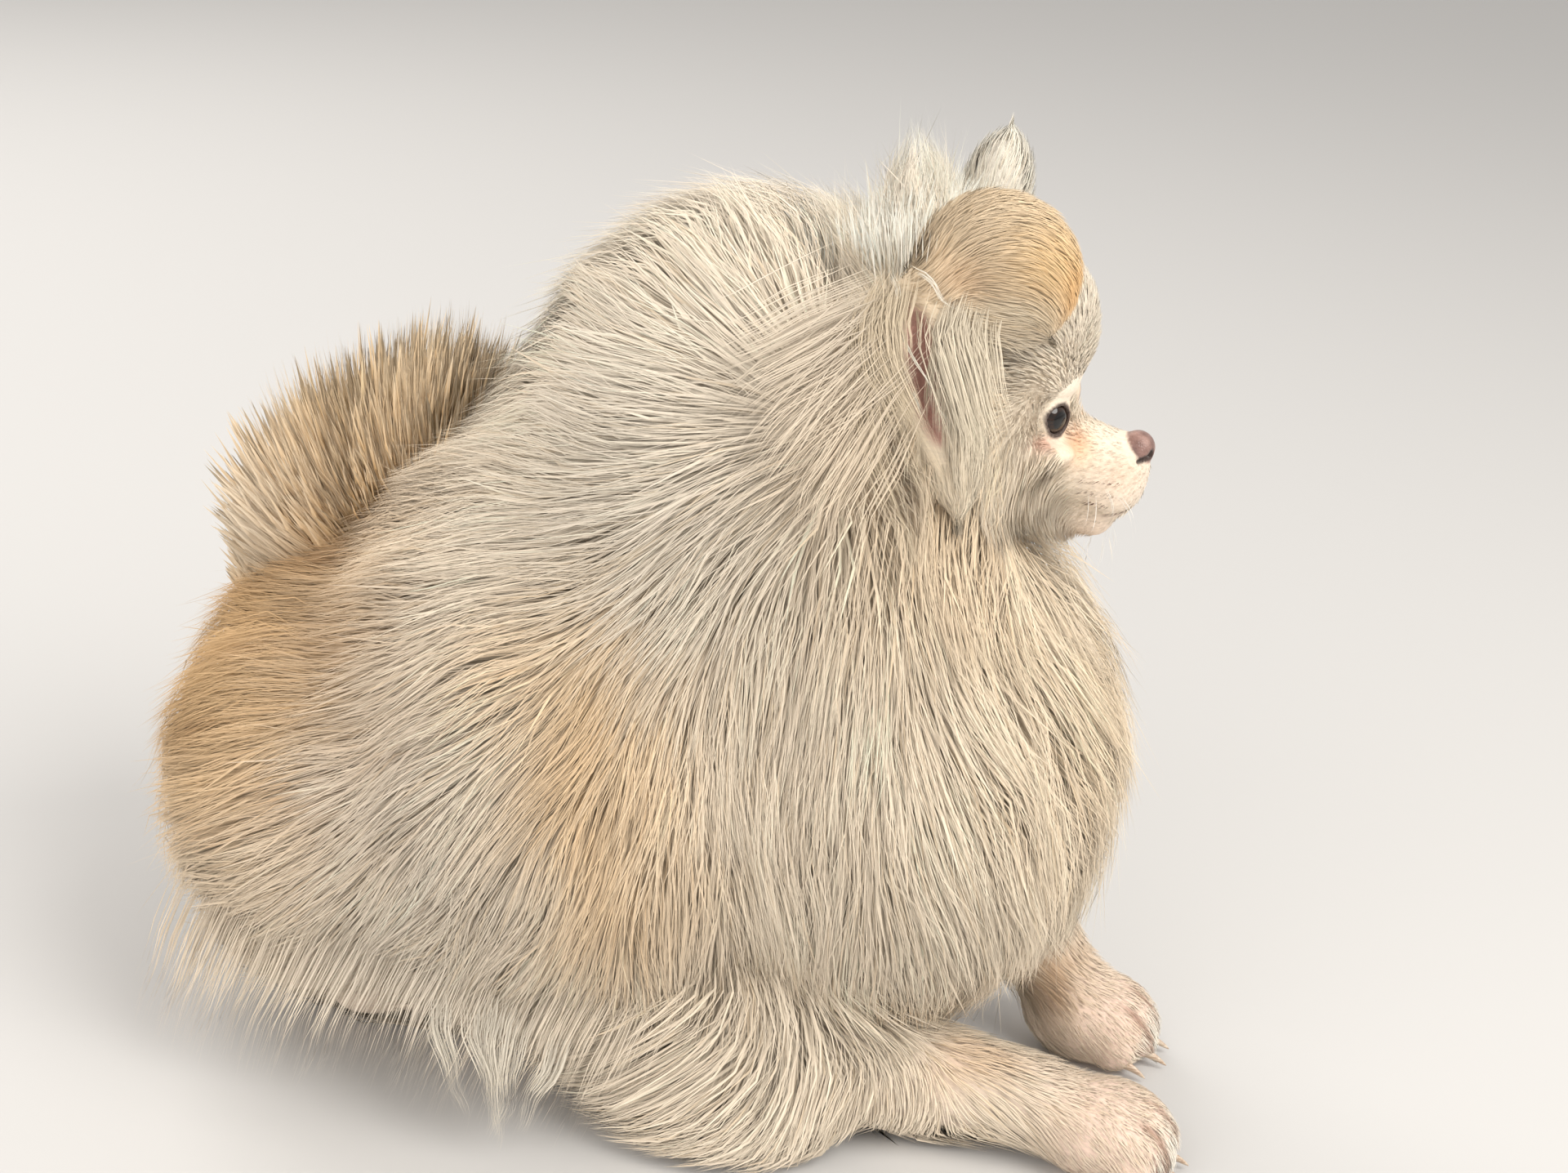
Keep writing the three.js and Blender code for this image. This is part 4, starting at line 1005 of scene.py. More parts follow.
# --- the face: very short, lying back from the nose
def off_eye(P, goal):
    for s in (1, -1):
        w, a, u = eye_local(xyz(P), s)
        q = np.sqrt((a / 5.1) ** 2 + (u / 4.5) ** 2)
        dirs = []
        for v in (0, 1, 2):
            e = np.zeros(3); e[v] = 0.2
            w2, a2, u2 = eye_local(xyz(P + e), s)
            dirs.append((np.sqrt((a2 / 5.1) ** 2 + (u2 / 4.5) ** 2) - q) / 0.2)
        out = unit(np.stack(dirs, -1))
        k = ramp(-q, -1.4, -1.05) * (w > 1) * 1.2
        goal = goal + out * k[:, None]
    return goal


def mouth_gap(P):
    d = np.full(len(P), 9.0)
    for s in (1, -1):
        for a, b in zip(MOUTH[:-1], MOUTH[1:]):
            d = np.minimum(d, limb(xyz(P), (a[0], a[1] * s, a[2]), (b[0], b[1] * s, b[2]), 0.85, 0.85))
    return d


def face_coat(count, seed):
    d_nose = ell(xyz(skin_p), (149.2, 0, 240.2), (5.5, 6.3, 5.7), 12)
    gap = np.minimum(eye_gap(skin_p, 1), eye_gap(skin_p, -1))
    mask = (names == "face") & (skin_p[:, 0] > 108) & (d_nose > 0.9) & (gap > 0.7) & (mouth_gap(skin_p) > 0.35)
    mask &= (ear_zone > 1.0)

    def weight(P, N):
        return (1 + 1.2 * ramp(P[:, 0], 118, 138) + 0.9 * ramp(P[:, 2], 256, 268)) * np.where(N[:, 1] < 0.3, 1.25, 0.9)
    R, N = pick_roots(mask, count, weight)
    r = np.random.default_rng(seed)
    muz = ramp(R[:, 0], 122, 136)
    L = 9.0 - 5.4 * muz + 5 * near(R, (110, -36, 232), (12, 16, 22)) + 5 * near(R, (110, 36, 232), (12, 16, 22))
    A = R * (1, 0, 1) + np.stack([0 * R[:, 0], np.abs(R[:, 1]), 0 * R[:, 0]], -1)
    L = L + 8 * near(A, (112, 32, 224), (13, 14, 13))
    L = L * (1 - 0.55 * near(A, (125, 18, 251), (7, 8, 8)))
    L = L * r.uniform(0.7, 1.2, count)
    brow = ramp(R[:, 2], 258, 270)
    L = L + 1.5 * brow + 6 * near(A, (125, 21, 222), (9, 9, 9))
    depth = r.uniform(-0.2, 1.0, count) * (1 - 0.5 * muz) - 1.2 * brow
    st = np.full(count, 0.05) + 0.10 * ramp(-R[:, 2], -216, -208) + 0.26 * near(A, (121, 14, 260), (9, 11, 8))
    P = grow(R, N, L, depth, st, ENV["face"], COMB["face"], rise=1.4, wander=0.12, seed=8, push=off_eye, turn=0.3, steep=0.38)
    P, _ = gather(P, R, 1.5, 0.45, seed + 1, 1.5)
    base = face_mark(P[:, 6], mix(coat_mark(P[:, 6]), IVORY, np.full(count, 0.45)))
    # whisker roots: two short rows of dark dots on the lip
    for x0, x1, y, z in ((136.5, 147.5, 12.2, 232.2), (136.0, 147.0, 12.2, 228.0), (138.5, 144.5, 12.0, 224.6)):
        for x in np.linspace(x0, x1, 6):
            base = mix(base, lin(110, 84, 74), np.clip(near(A, (x, y - 0.28 * (x - 138), z), (0.7, 3.5, 0.8)) * 1.6, 0, 1) * 0.9)
    col = shade(base, 13, 0.97, 1.05, 0.04, seed)
    # painted light: the brow's hair is made paler to lift the shade that falls there
    col = col * (1 + 0.07 * brow[:, None, None])
    w = (0.18 - 0.04 * muz) * r.uniform(0.8, 1.2, count)
    up = N
    lock_batch("face_short", P, w, col, up, sph_uv(R, (112, 0, 244)), rings=3, flat=0.5)


face_coat(13000, 61)


# --- ears
def ear_coat(k, count, seed):
    g, s = EARS[k], (-1 if k == "r" else 1)
    part = "ear_r" if k == "r" else "ear_l"
    h = (g["lobe"][0] - 2.5, g["lobe"][1] + s * 11.5, g["lobe"][2] + 7)
    hollow = ell(xyz(skin_p), h, (5.2, 9.5, 23), g["lobe_t"])
    mask = (names == part) & (hollow > 0.8)
    R, N = pick_roots(mask, count, lambda P, N: np.where(N[:, 1] * s > -0.4, 1.0, 0.5))
    r = np.random.default_rng(seed)
    dome = ramp(R[:, 2], 279, 289)
    if k == "r":
        rows = [(88, -46, 296, 0.55, -0.35, 0.75), (95, -44, 308, 0.75, -0.1, 0.6), (108, -44, 303, 0.95, -0.1, 0.15),
                (120, -38, 305, 0.8, 0.1, -0.55), (124, -34, 296, 0.5, 0.0, -0.85), (104, -47, 290, 0.98, -0.1, -0.05),
                (112, -30, 322, 0.85, 0, -0.2), (95, -28, 320, 0.6, 0.1, 0.75), (84, -36, 305, 0.2, -0.1, 0.95),
                (84, -48, 270, -0.2, -0.35, -0.9), (92, -54, 268, 0.15, -0.25, -0.95), (100, -48, 262, 0.25, -0.2, -0.95),
                (98, -46, 238, 0.2, -0.2, -0.95), (86, -46, 250, 0.1, -0.3, -0.95), (80, -40, 285, -0.35, -0.4, -0.85)]
    else:
        rows = [(90, 32, 325, 0.1, 0.1, 0.98), (80, 30, 312, -0.4, -0.1, 0.9), (84, 30, 304, -0.1, -0.1, 0.98), (99, 34, 316, 0.5, 0, 0.86), (90, 44, 300, 0.1, 0.35, 0.9),
                (82, 48, 264, 0.1, 0.3, -0.95), (90, 42, 250, 0.2, 0.2, -0.95), (76, 40, 280, -0.3, 0.3, -0.85), (86, 22, 300, 0.2, -0.4, 0.85)]
    comb = comb_field(rows, False, 5.0)
    L = (11.5 if k == "r" else 14.0) * dome + (1 - dome) * 25
    L = L * r.uniform(0.7, 1.2, count)
    depth = r.uniform(-1.2, 1.2, count)
    st = 0.05 + (0.03 if k == "r" else 0.22) * dome
    P = grow(R, N, L, depth, st * r.uniform(0.5, 1.5, count), ENV[part], comb, rise=1.4, wander=0.12, seed=9, turn=0.3)
    P, _ = gather(P, R, 2.6, 0.26, seed + 1, 1.5)
    P, _ = gather(P, R, 7.0, 0.12, seed + 2, 1.5)
    sl = np.linspace(0, 1, 13)[None, :, None]
    P = P + unit(np.cross(P[:, -1] - P[:, 0], N))[:, None] * np.sin(sl * L[:, None, None] / 13 * 6.28 + r.uniform(0, 6.28, (count, 1, 1))) * 0.8 * sl * (1 - dome)[:, None, None]
    mid = P[:, 6]
    base = ear_tone(mid, k)
    col = shade(base, 13, 0.90, 1.05, 0.03, seed)
    w = (0.18 * dome + 0.2 * (1 - dome)) * r.uniform(0.8, 1.2, count)
    lock_batch(f"ear_{k}", P, w, col, N, cyl_uv(R, (g["lobe"][0] + 4, g["lobe"][1], 0), 2), rings=3)


ear_coat("r", 10000, 71)
ear_coat("l", 2800, 75)


def crest_coat(count, seed):
    """The spiky white hair that stands up between the ears."""
    mask = np.isin(names, ["face", "body"]) & (skin_p[:, 2] > 280) & (skin_p[:, 0] > 40) & (skin_p[:, 0] < 96) & (np.abs(skin_p[:, 1]) < 34) & (ear_zone > -3)
    R, N = pick_roots(mask, count, lambda P, N: near(P, (66, 4, 300), (26, 30, 30)))
    r = np.random.default_rng(seed)
    d = unit(np.stack([(R[:, 0] - 66) / 70, (R[:, 1] - 4) / 60, np.ones(count)], -1) + r.normal(0, 0.09, (count, 3)))
    top = np.interp(R[:, 0], (44, 54, 62, 70, 78, 88), (300, 311, 316, 324, 321, 314)) - (R[:, 1] / 34) ** 2 * 10
    top = top + 2.5 * waves(R, seed, 9) - r.uniform(0, 9, count)
    L = np.clip((top - R[:, 2]) / d[:, 2], 8, 60)
    s = np.linspace(0, 1, 13)[None, :, None]
    P = R[:, None] + d[:, None] * L[:, None, None] * s
    P = P + np.stack([waves(R, seed + i, 14) for i in range(3)], -1)[:, None] * 2.2 * s ** 2
    P, _ = gather(P, R, 3.6, 0.45, seed + 1, 2.0)
    col = shade(np.broadcast_to(lin(246, 240, 228), R.shape), 13, 0.90, 1.05, 0.03, seed)
    lock_batch("crest", P, 0.22 * r.uniform(0.75, 1.25, count), col, unit(N + (0, -0.3, 0.6)), sph_uv(R, (66, 0, 250)), rings=4)


crest_coat(2600, 77)


# --- fore legs and paws
def leg_coat(k, count, seed, broad=0.0):
    part = "leg_" + k
    pw = LEGS[k]["paw"]
    mask = (names == part) & (skin_p[:, 2] > 0.9)
    R, N = pick_roots(mask, count, lambda P, N: (0.8 + 1.6 * ramp(P[:, 0], pw[0] - 30, pw[0])) * np.where(N[:, 2] < -0.6, 0.35, 1.0))
    r = np.random.default_rng(seed)
    if k == "r":
        feather = ramp(-R[:, 0], -100, -60) + 0.55 * near(R, (110, -52, 14), (30, 14, 14))
        L = 15 + 40 * np.clip(feather, 0, 1)
        L = L - 8.5 * ramp(R[:, 0], 132, 162)
    else:
        L = 22 - 14 * ramp(R[:, 0], 128, 154)
    toe = ramp(R[:, 0], pw[0] + 12, pw[0] + 22)
    L = (L + 3.5 * toe) * r.uniform(0.75, 1.2, count)
    depth = r.uniform(-0.4, 1.6, count) + (1.5 * r.random(count) * np.clip(L / 20, 0, 2)) + broad * 1.2
    st = 0.06 + 0.30 * toe + 0.10 * ramp(L, 25, 45)
    P = grow(R, N, L, depth, st * r.uniform(0.4, 1.5, count), ENV[part], COMB[part], rise=1.5, wander=0.16, seed=12, turn=0.35)
    P, _ = gather(P, R, 2.4, 0.28, seed + 1, 1.6)
    P, _ = gather(P, R, 8.0, 0.20, seed + 2, 1.6)
    s = np.linspace(0, 1, 13)[None, :, None]
    curl = ramp(L, 24, 40)[:, None, None]
    P = P + unit(np.cross(P[:, -1] - P[:, 0], N))[:, None] * np.sin(s * L[:, None, None] / 16 * 6.28 + r.uniform(0, 6.28, (count, 1, 1))) * 1.3 * s * curl
    P[..., 2] = np.maximum(P[..., 2], 0.5)
    base = coat_mark(P[:, 6])
    base = mix(base, lin(234, 206, 186), 0.35 * ramp(R[:, 0], 120, 165))
    base = mix(base, lin(246, 240, 230), toe * 0.8)
    x, y = R[:, 0] - pw[0], (R[:, 1] - pw[1]) / 9.6
    gap = np.minimum.reduce([np.abs(y + 1), np.abs(y), np.abs(y - 1)])
    # painted shade in the creases between the toes
    crease_shade = ramp(x, 6, 12) * ramp(-gap, -0.2, -0.03) * (np.abs(y) < 1.5) * (1 - ramp(x, 24, 28))
    base = mix(base, lin(158, 120, 100), crease_shade * 0.7)
    col = shade(base, 13, 0.95, 1.05, 0.03, seed)
    w = (0.18 + 0.02 * ramp(L, 14, 40)) * r.uniform(0.8, 1.2, count)
    long = L > 17
    if broad:
        lock_batch(f"leg_under_{k}", P, broad * w / 0.2 * (0.35 + 0.65 * ramp(L, 12, 34)), col, N, cyl_uv(R, (0, pw[1], 22), 0), rings=4, flat=0.2)
        return
    for m, rings, tag in ((long, 3, "long"), (~long, 3, "short")):
        lock_batch(f"leg_{tag}_{k}", P[m], w[m], col[m], N[m], cyl_uv(R[m], (0, pw[1], 22), 0), rings=rings,
                   slot="coat" if tag == "long" else "paw_coat")


leg_coat("r", 11500, 81)
leg_coat("l", 5400, 87)
leg_coat("r", 3000, 83, 0.5)
leg_coat("l", 1000, 89, 0.5)


# --- single locks laid along a given line
def along(line, n, rings=11):
    """Points evenly spaced along a smooth curve through the line's points."""
    p = np.array(line, float)
    q = np.concatenate([2 * p[:1] - p[1:2], p, 2 * p[-1:] - p[-2:-1]])
    out = []
    for i in range(1, len(q) - 2):
        t = np.linspace(0, 1, 12, endpoint=False)[:, None]
        a, b, c, d = q[i - 1], q[i], q[i + 1], q[i + 2]
        out.append(0.5 * ((2 * b) + (c - a) * t + (2 * a - 5 * b + 4 * c - d) * t ** 2 + (3 * b - a - 3 * c + d) * t ** 3))
    out = np.concatenate(out + [p[-1:]])
    s = np.concatenate([[0], np.cumsum(np.linalg.norm(np.diff(out, axis=0), axis=1))])
    return np.stack([np.interp(np.linspace(0, s[-1], rings), s, out[:, i]) for i in range(3)], -1), s[-1]


def drawn_locks(name, lines, each, spread, wide, colour, seed, wave=1.2, period=14.0, rings=9, end=0.35, up=(0, -1, 0.2), slot="coat"):
    r = np.random.default_rng(seed)
    Ps, cs = [], []
    s = np.linspace(0, 1, rings)[:, None]
    for line in lines:
        c, L = along(line, 1, rings)
        T = unit(np.gradient(c, axis=0))
        side = unit(np.cross(T, np.asarray(up, float)))
        nrm = np.cross(side, T)
        ph0 = r.uniform(0, 6.28)
        for _ in range(each):
            o = r.normal(0, spread, 2)
            fade = 1 - (1 - end) * s
            ph = ph0 + r.normal(0, 0.35)
            wv = wave * np.sin(s * L / period * 6.28 + ph) * ramp(s, 0.0, 0.3)
            P = c + side * (o[0] * fade + wv) + nrm * (o[1] * fade * 0.6 + 0.5 * wave * np.cos(s * L / period * 6.28 + ph) * s)
            cut = r.uniform(0.72, 1.0)
            idx = np.linspace((rings - 1) * r.uniform(0, 0.16), (rings - 1) * cut, rings)
            P = np.stack([np.interp(idx, np.arange(rings), P[:, i]) for i in range(3)], -1)
            P[:, 2] = np.maximum(P[:, 2], 0.6)
            Ps.append(P)
            # each lock darkens towards its root: painted shade deep in the coat
            tone = (coat_mark(P[:1]) if colour is None else np.asarray(colour)) * (1 + 0.05 * r.normal()) * (0.92 + 0.12 * s)
            cs.append(tone)
    P, c = np.stack(Ps), np.clip(np.stack(cs), 0.01, 0.93)
    n = len(P)
    lock_batch(name, P, wide * r.uniform(0.7, 1.2, n), c, np.broadcast_to(unit(np.asarray(up, float)), (n, 3)),
               sph_uv(P[:, 0], P[:, 0].mean(0) + (0, 30, 0)), rings=rings, slot=slot,
               profile=tuple(0.12 + 0.88 * math.sin(math.pi * min(1, 1.5 * i / (rings - 1))) - 0.3 * (i / (rings - 1)) ** 2 for i in range(rings - 1)))


# the wavy locks round the open right ear
drawn_locks("ear_locks_pale", [
    [(78.2, -50, 296), (78.7, -55.0, 288.0), (81.0, -56.4, 282.6), (84.2, -57.3, 276.7), (89.7, -58.0, 271.9), (92.8, -58.0, 264.3), (97.6, -58.0, 259.2), (99.6, -57.7, 252.6)],
    [(79, -46, 300), (85.9, -51.3, 299.1), (89.6, -52.6, 295.2), (93.1, -53.5, 292.4), (97.6, -53.9, 291.3), (101.6, -55.8, 285.5)],
    [(84.4, -56.0, 267), (88.8, -58.0, 261.4), (90.0, -57.9, 256.1)],
    [(74.5, -50, 299), (77.6, -52.9, 294.4), (78.3, -55.0, 288.0), (79.9, -56.3, 283.3)],
], 7, 0.55, 0.15, lin(246, 238, 222), 91, wave=0.35, period=13)
drawn_locks("ear_locks_rear", [
    [(76, -47, 300), (71.7, -56.9, 287.5), (73.8, -60.4, 278.2), (78.0, -62.4, 270.5), (85.1, -63.3, 262.9), (91.3, -64.2, 255.2), (97.4, -65.0, 248.3), (99.6, -65.8, 237.0)],
    [(77, -47, 300), (75.6, -56.7, 288.0), (78.1, -60.2, 278.8), (83.0, -62.5, 269.5), (88.0, -63.5, 260.7), (93.2, -64.3, 253.7), (98.6, -65.2, 245.8), (102.8, -66.1, 233.0)],
    [(75, -47, 300), (70.0, -57.0, 287.3), (71.1, -61.2, 276.2), (74.8, -62.7, 268.3), (80.4, -63.4, 262.2), (85.5, -64.5, 252.5), (93.1, -65.5, 240.4), (98.1, -66.4, 227.7)],
    [(77, -48, 300), (78.1, -56.6, 288.4), (80.1, -59.8, 279.8), (84.7, -62.5, 269.8), (89.8, -63.6, 260.2)],
    [(76, -56, 285), (72, -62, 268), (76, -66, 250), (86, -68, 234), (94, -69, 218), (98, -71, 204)],
], 60, 3.3, 0.15, lin(234, 216, 188), 93, wave=0.7, period=15)
drawn_locks("ear_locks_front", [
    [(93, -36, 298), (92, -46, 290), (90.9, -53.4, 280.6), (94.8, -55.7, 272.9), (98.5, -56.9, 264.9), (104.1, -58.1, 255.3), (109.7, -58.5, 245.4), (113.1, -59.4, 232.4), (113.2, -61.5, 219.1)],
    [(98, -36, 298), (97, -46, 290), (96.9, -53.1, 281.4), (102.4, -55.4, 274.0), (107.2, -57.0, 264.5), (111.8, -58.2, 252.9), (114.9, -58.8, 239.0), (115.3, -60.9, 223.0)],
    [(95, -36, 298), (94.5, -46, 289), (94.6, -53.7, 279.4), (99.5, -56.2, 270.2), (103.4, -57.5, 260.4), (107.2, -58.3, 251.3), (110.3, -58.8, 240.0), (109.3, -61.0, 222.0)],
    [(103, -34, 294), (103, -44, 287), (104.2, -52, 279.2), (108.1, -54, 270.7), (111, -55, 260.1), (113.5, -56.4, 248.1), (115.1, -57.0, 234.8)],
    [(100, -42, 286), (100, -53, 268), (105.2, -58.2, 253.6), (106.6, -58.7, 242.1), (106.3, -59.7, 230.4), (105.4, -61.7, 217.8)],
], 52, 2.7, 0.15, lin(242, 228, 204), 95, wave=1.0, period=15, end=1.0)
# long hair that hangs from the skirt to the floor
drawn_locks("skirt_locks", [
    [(-27, -99, 58), (-24, -103, 42), (-18, -104, 26), (-20, -103, 6)],
    [(-12, -100, 58), (-15, -104, 42), (-14, -105, 26), (-19, -104, 8)],
    [(-40, -98, 56), (-36, -103, 38), (-30, -104, 22), (-28, -103, 12)],
    [(2, -98, 52), (-2, -103, 36), (-8, -104, 20), (-10, -103, 10)],
    [(-20, -99, 60), (-20, -104, 40), (-17, -105, 22), (-16, -104, 3)],
], 40, 3.0, 0.16, lin(236, 226, 208), 97, wave=1.0, period=22)
# the fall of hair behind the right ear
drawn_locks("mane_locks", [
    [(76, -48, 288), (66, -64, 277), (50, -73, 265), (34, -78, 250), (18, -83, 236)],
    [(76, -50, 282), (66, -68, 268), (54, -78, 252), (42, -85, 236), (32, -89, 218)],
    [(78, -52, 274), (70, -70, 260), (62, -79, 244), (54, -86, 226), (48, -89, 206)],
    [(78, -54, 266), (74, -71, 250), (70, -79, 234), (66, -83, 214), (62, -86, 196)],
    [(74, -46, 294), (60, -61, 288), (42, -70, 279), (24, -75, 267), (8, -78, 252)],
], 75, 7.0, 0.17, None, 94, wave=1.3, period=21, rings=7, end=0.9)
# the fringe round the lower edge of the coat
for s in (-1, 1):
    F = []
    for x in np.linspace(-136, 22, 20):
        q = 1 - ((x + 14) / 107) ** 2 - (53 / 125) ** 2, 1 - ((x + 98) / 80) ** 2 - (24 / 80) ** 2
        y = max(112 * math.sqrt(max(q[0], 0)), 105 * math.sqrt(max(q[1], 0.04))) - 4
        F.append([(x + 6, s * (y - 10), 70), (x, s * (y - 3), 54), (x - 5, s * (y + 3), 38), (x - 10, s * (y + 4), 22), (x - 15, s * (y + 3), 6)])
    drawn_locks("skirt_fringe_right" if s < 0 else "skirt_fringe_left", F, 36, 6.0, 0.17, None, 96, wave=1.0, period=21, rings=6, end=0.8, up=(0, s, 0.3))
# a few whiskers and longer hairs on lip and chin
W = []
for s in (-1, 1):
    W += [[(141, 12 * s, 231), (145, 17 * s, 226), (146, 21 * s, 217)], [(145, 11 * s, 229), (151, 15 * s, 224), (154, 18 * s, 215)],
          [(138, 12.5 * s, 228), (139, 17 * s, 219), (137, 20 * s, 209)], [(142, 8 * s, 214), (143, 10 * s, 207), (141, 11 * s, 198)],
          [(138, 6 * s, 211), (138, 7 * s, 203), (135, 7 * s, 195)], [(144, 4 * s, 212), (146, 5 * s, 205), (145, 5 * s, 198)]]
drawn_locks("whiskers", W, 2, 1.0, 0.13, lin(244, 238, 228), 99, wave=0.2, period=30, end=1.4, up=(0.3, 0, 1))


# ------------------------------------------------------- hair into solid meshes
def topology(K):
    """Faces of one lock: K rings of three points, then the tip."""
    loops, uv, starts = [], [], []
    for i in range(K - 1):
        for j in range(3):
            a, b = i * 3 + j, i * 3 + (j + 1) % 3
            starts.append(len(loops))
            loops += [a, b, b + 3, a + 3]
            uv += [(j / 3, i), ((j + 1) / 3, i), ((j + 1) / 3, i + 1), (j / 3, i + 1)]
    for j in range(3):
        a, b = (K - 1) * 3 + j, (K - 1) * 3 + (j + 1) % 3
        starts.append(len(loops))
        loops += [a, b, K * 3]
        uv += [(j / 3, K - 1), ((j + 1) / 3, K - 1), ((j + 0.5) / 3, K)]
    starts.append(len(loops))
    loops += [2, 1, 0]
    uv += [(0.0, -1), (1.0, -1), (0.5, 0)]
    return np.array(loops), np.array(uv, float), np.array(starts)


SOFT = 0.93
PROFILE = {5: (0.75, 1.0, 0.92, 0.62), 4: (0.8, 1.0, 0.72), 3: (0.9, 0.8)}


def solid_locks(name, batch, mat, seed):
    P, w = batch["P"], batch["w"]
    n, k = P.shape[0], P.shape[1] - 1
    prof = np.array(batch["profile"] or PROFILE.get(k + 1) or tuple(0.75 + 0.25 * math.sin(math.pi * min(1, 1.6 * i / k)) - 0.35 * (i / k) ** 2 for i in range(k)))
    T = np.empty((n, k, 3))
    T[:, 0] = P[:, 1] - P[:, 0]
    T[:, 1:] = P[:, 2:] - P[:, :-2]
    T = unit(T)
    side = unit(np.cross(T, batch["up"][:, None, :]))
    nrm = np.cross(side, T)
    # a slight twist, so that no two locks catch the light alike
    a = np.random.default_rng(seed).normal(0, 0.45 if batch['flat'] > 0.3 else 0.15, n)[:, None, None]
    side, nrm = side * np.cos(a) + nrm * np.sin(a), nrm * np.cos(a) - side * np.sin(a)
    W = w[:, None, None] * prof[None, :, None]
    ring = np.stack([P[:, :-1] + side * W, P[:, :-1] + nrm * W * batch["flat"] * 1.3, P[:, :-1] - side * W], 2)
    ring = ring - nrm[:, :, None, :] * W[:, :, None, :] * 0.3
    # side x normal must run along the hair for the faces to point out
    if np.median((np.cross(side, nrm) * T).sum(-1)) < 0:
        ring = ring[:, :, ::-1]
    ring[..., 2] = np.maximum(ring[..., 2], 0.3)
    co = np.concatenate([ring.reshape(n, k * 3, 3), P[:, -1:]], 1)
    cc = np.concatenate([np.repeat(batch["c"][:, :-1], 3, axis=1), batch["c"][:, -1:]], 1)
    loops, uv, starts = topology(k)
    stride = k * 3 + 1
    L = (loops[None] + np.arange(n)[:, None] * stride).ravel()
    S = (starts[None] + np.arange(n)[:, None] * len(loops)).ravel()
    q = batch["uv"]
    span = np.maximum(q.max(0) - q.min(0), 1e-6)
    q = 0.01 + 0.98 * (q - q.min(0)) / span
    seg = np.concatenate([[0.0], np.cumsum(np.linalg.norm(np.diff(P, axis=1), axis=2).mean(0))])
    v = np.clip(uv[:, 1], 0, None) / k
    local = np.stack([uv[:, 0], np.where(uv[:, 1] < 0, -0.12, v)], -1)
    bake = q[:, None, :] + (local[None] - 0.5) * 0.003
    r = np.random.default_rng(seed + 1).uniform(0, 300, n)
    mm = np.interp(np.clip(uv[:, 1], 0, k), np.arange(k + 1), seg)
    hair = np.stack(np.broadcast_arrays(uv[None, :, 0] + r[:, None], mm[None] + 0 * r[:, None]), -1)
    me = new_mesh(name, co.reshape(-1, 3), L, S)
    # shade each lock mostly as the coat's own surface, so that the fur looks soft
    nv = np.concatenate([ring - ring.mean(2, keepdims=True), ], 2).reshape(n, k * 3, 3)
    own = np.concatenate([unit(nv), unit(nv[:, -3:].mean(1, keepdims=True) + nrm[:, -1:])], 1)
    soft = unit(own * (1 - SOFT) + batch["up"][:, None, :] * SOFT)
    me.normals_split_custom_set_from_vertices(soft.reshape(-1, 3).astype(F32))
    uv_map(me, "OFBake", bake.reshape(-1, 2))
    uv_map(me, "hair", hair.reshape(-1, 2))
    paint(me, "tint", cc.reshape(-1, 3))
    ob = add_object(name, me, mat)
    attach(ob, "root")
    return n * (6 * (k - 1) + 4)


def build_coat():
    coarse = hair_material("coat_hair")
    under = hair_material("coat_under", streak=(22.0, 0.05), low=0.84, high=1.07)
    fine = hair_material("short_hair", rough=0.7, streak=(4.0, 0.2), low=0.9, high=1.06)
    total = 0
    for i, b in enumerate(COAT):
        short = b["name"].startswith(("face", "paw", "leg_short", "ear_short", "nose"))
        per = 6 * (b["P"].shape[1] - 2) + 4
        step = 190000 // per
        for j in range(0, len(b["P"]), step):
            piece = {q: (v[j:j + step] if isinstance(v, np.ndarray) and len(v) == len(b["P"]) else v) for q, v in b.items()}
            nm = b["name"] if len(b["P"]) <= step else f"{b['name']}_{j // step}"
            total += solid_locks(nm, piece, fine if short else (under if "under" in nm or "dense" in nm else coarse), 100 + i * 7 + j)
    print("coat", len(COAT), "batches,", total, "triangles")


build_coat()


# -------------------------------------------------------------------- eyes
def eye_material():
    m, ns, ln = material("eye_wet")
    out = node(ns, "ShaderNodeOutputMaterial")
    bs = node(ns, "ShaderNodeBsdfPrincipled")
    bs.inputs["Roughness"].default_value = 0.06
    bs.inputs["Coat Weight"].default_value = 0.35
    bs.inputs["Specular IOR Level"].default_value = 0.35
    bs.inputs["Coat Roughness"].default_value = 0.02
    tint = node(ns, "ShaderNodeAttribute", attribute_name="tint")
    tc = node(ns, "ShaderNodeTexCoord")
    no = node(ns, "ShaderNodeTexNoise")
    no.inputs["Scale"].default_value, no.inputs["Detail"].default_value = 900.0, 2.0
    rg = node(ns, "ShaderNodeMapRange")
    rg.inputs["To Min"].default_value, rg.inputs["To Max"].default_value = 0.8, 1.2
    mul = node(ns, "ShaderNodeVectorMath", operation="SCALE")
    ln.new(tc.outputs["Object"], no.inputs["Vector"])
    ln.new(no.outputs["Fac"], rg.inputs["Value"])
    ln.new(tint.outputs["Color"], mul.inputs[0])
    ln.new(rg.outputs["Result"], mul.inputs["Scale"])
    ln.new(mul.outputs["Vector"], bs.inputs["Base Color"])
    ln.new(bs.outputs["BSDF"], out.inputs["Surface"])
    return m


EYE_MAT = eye_material()


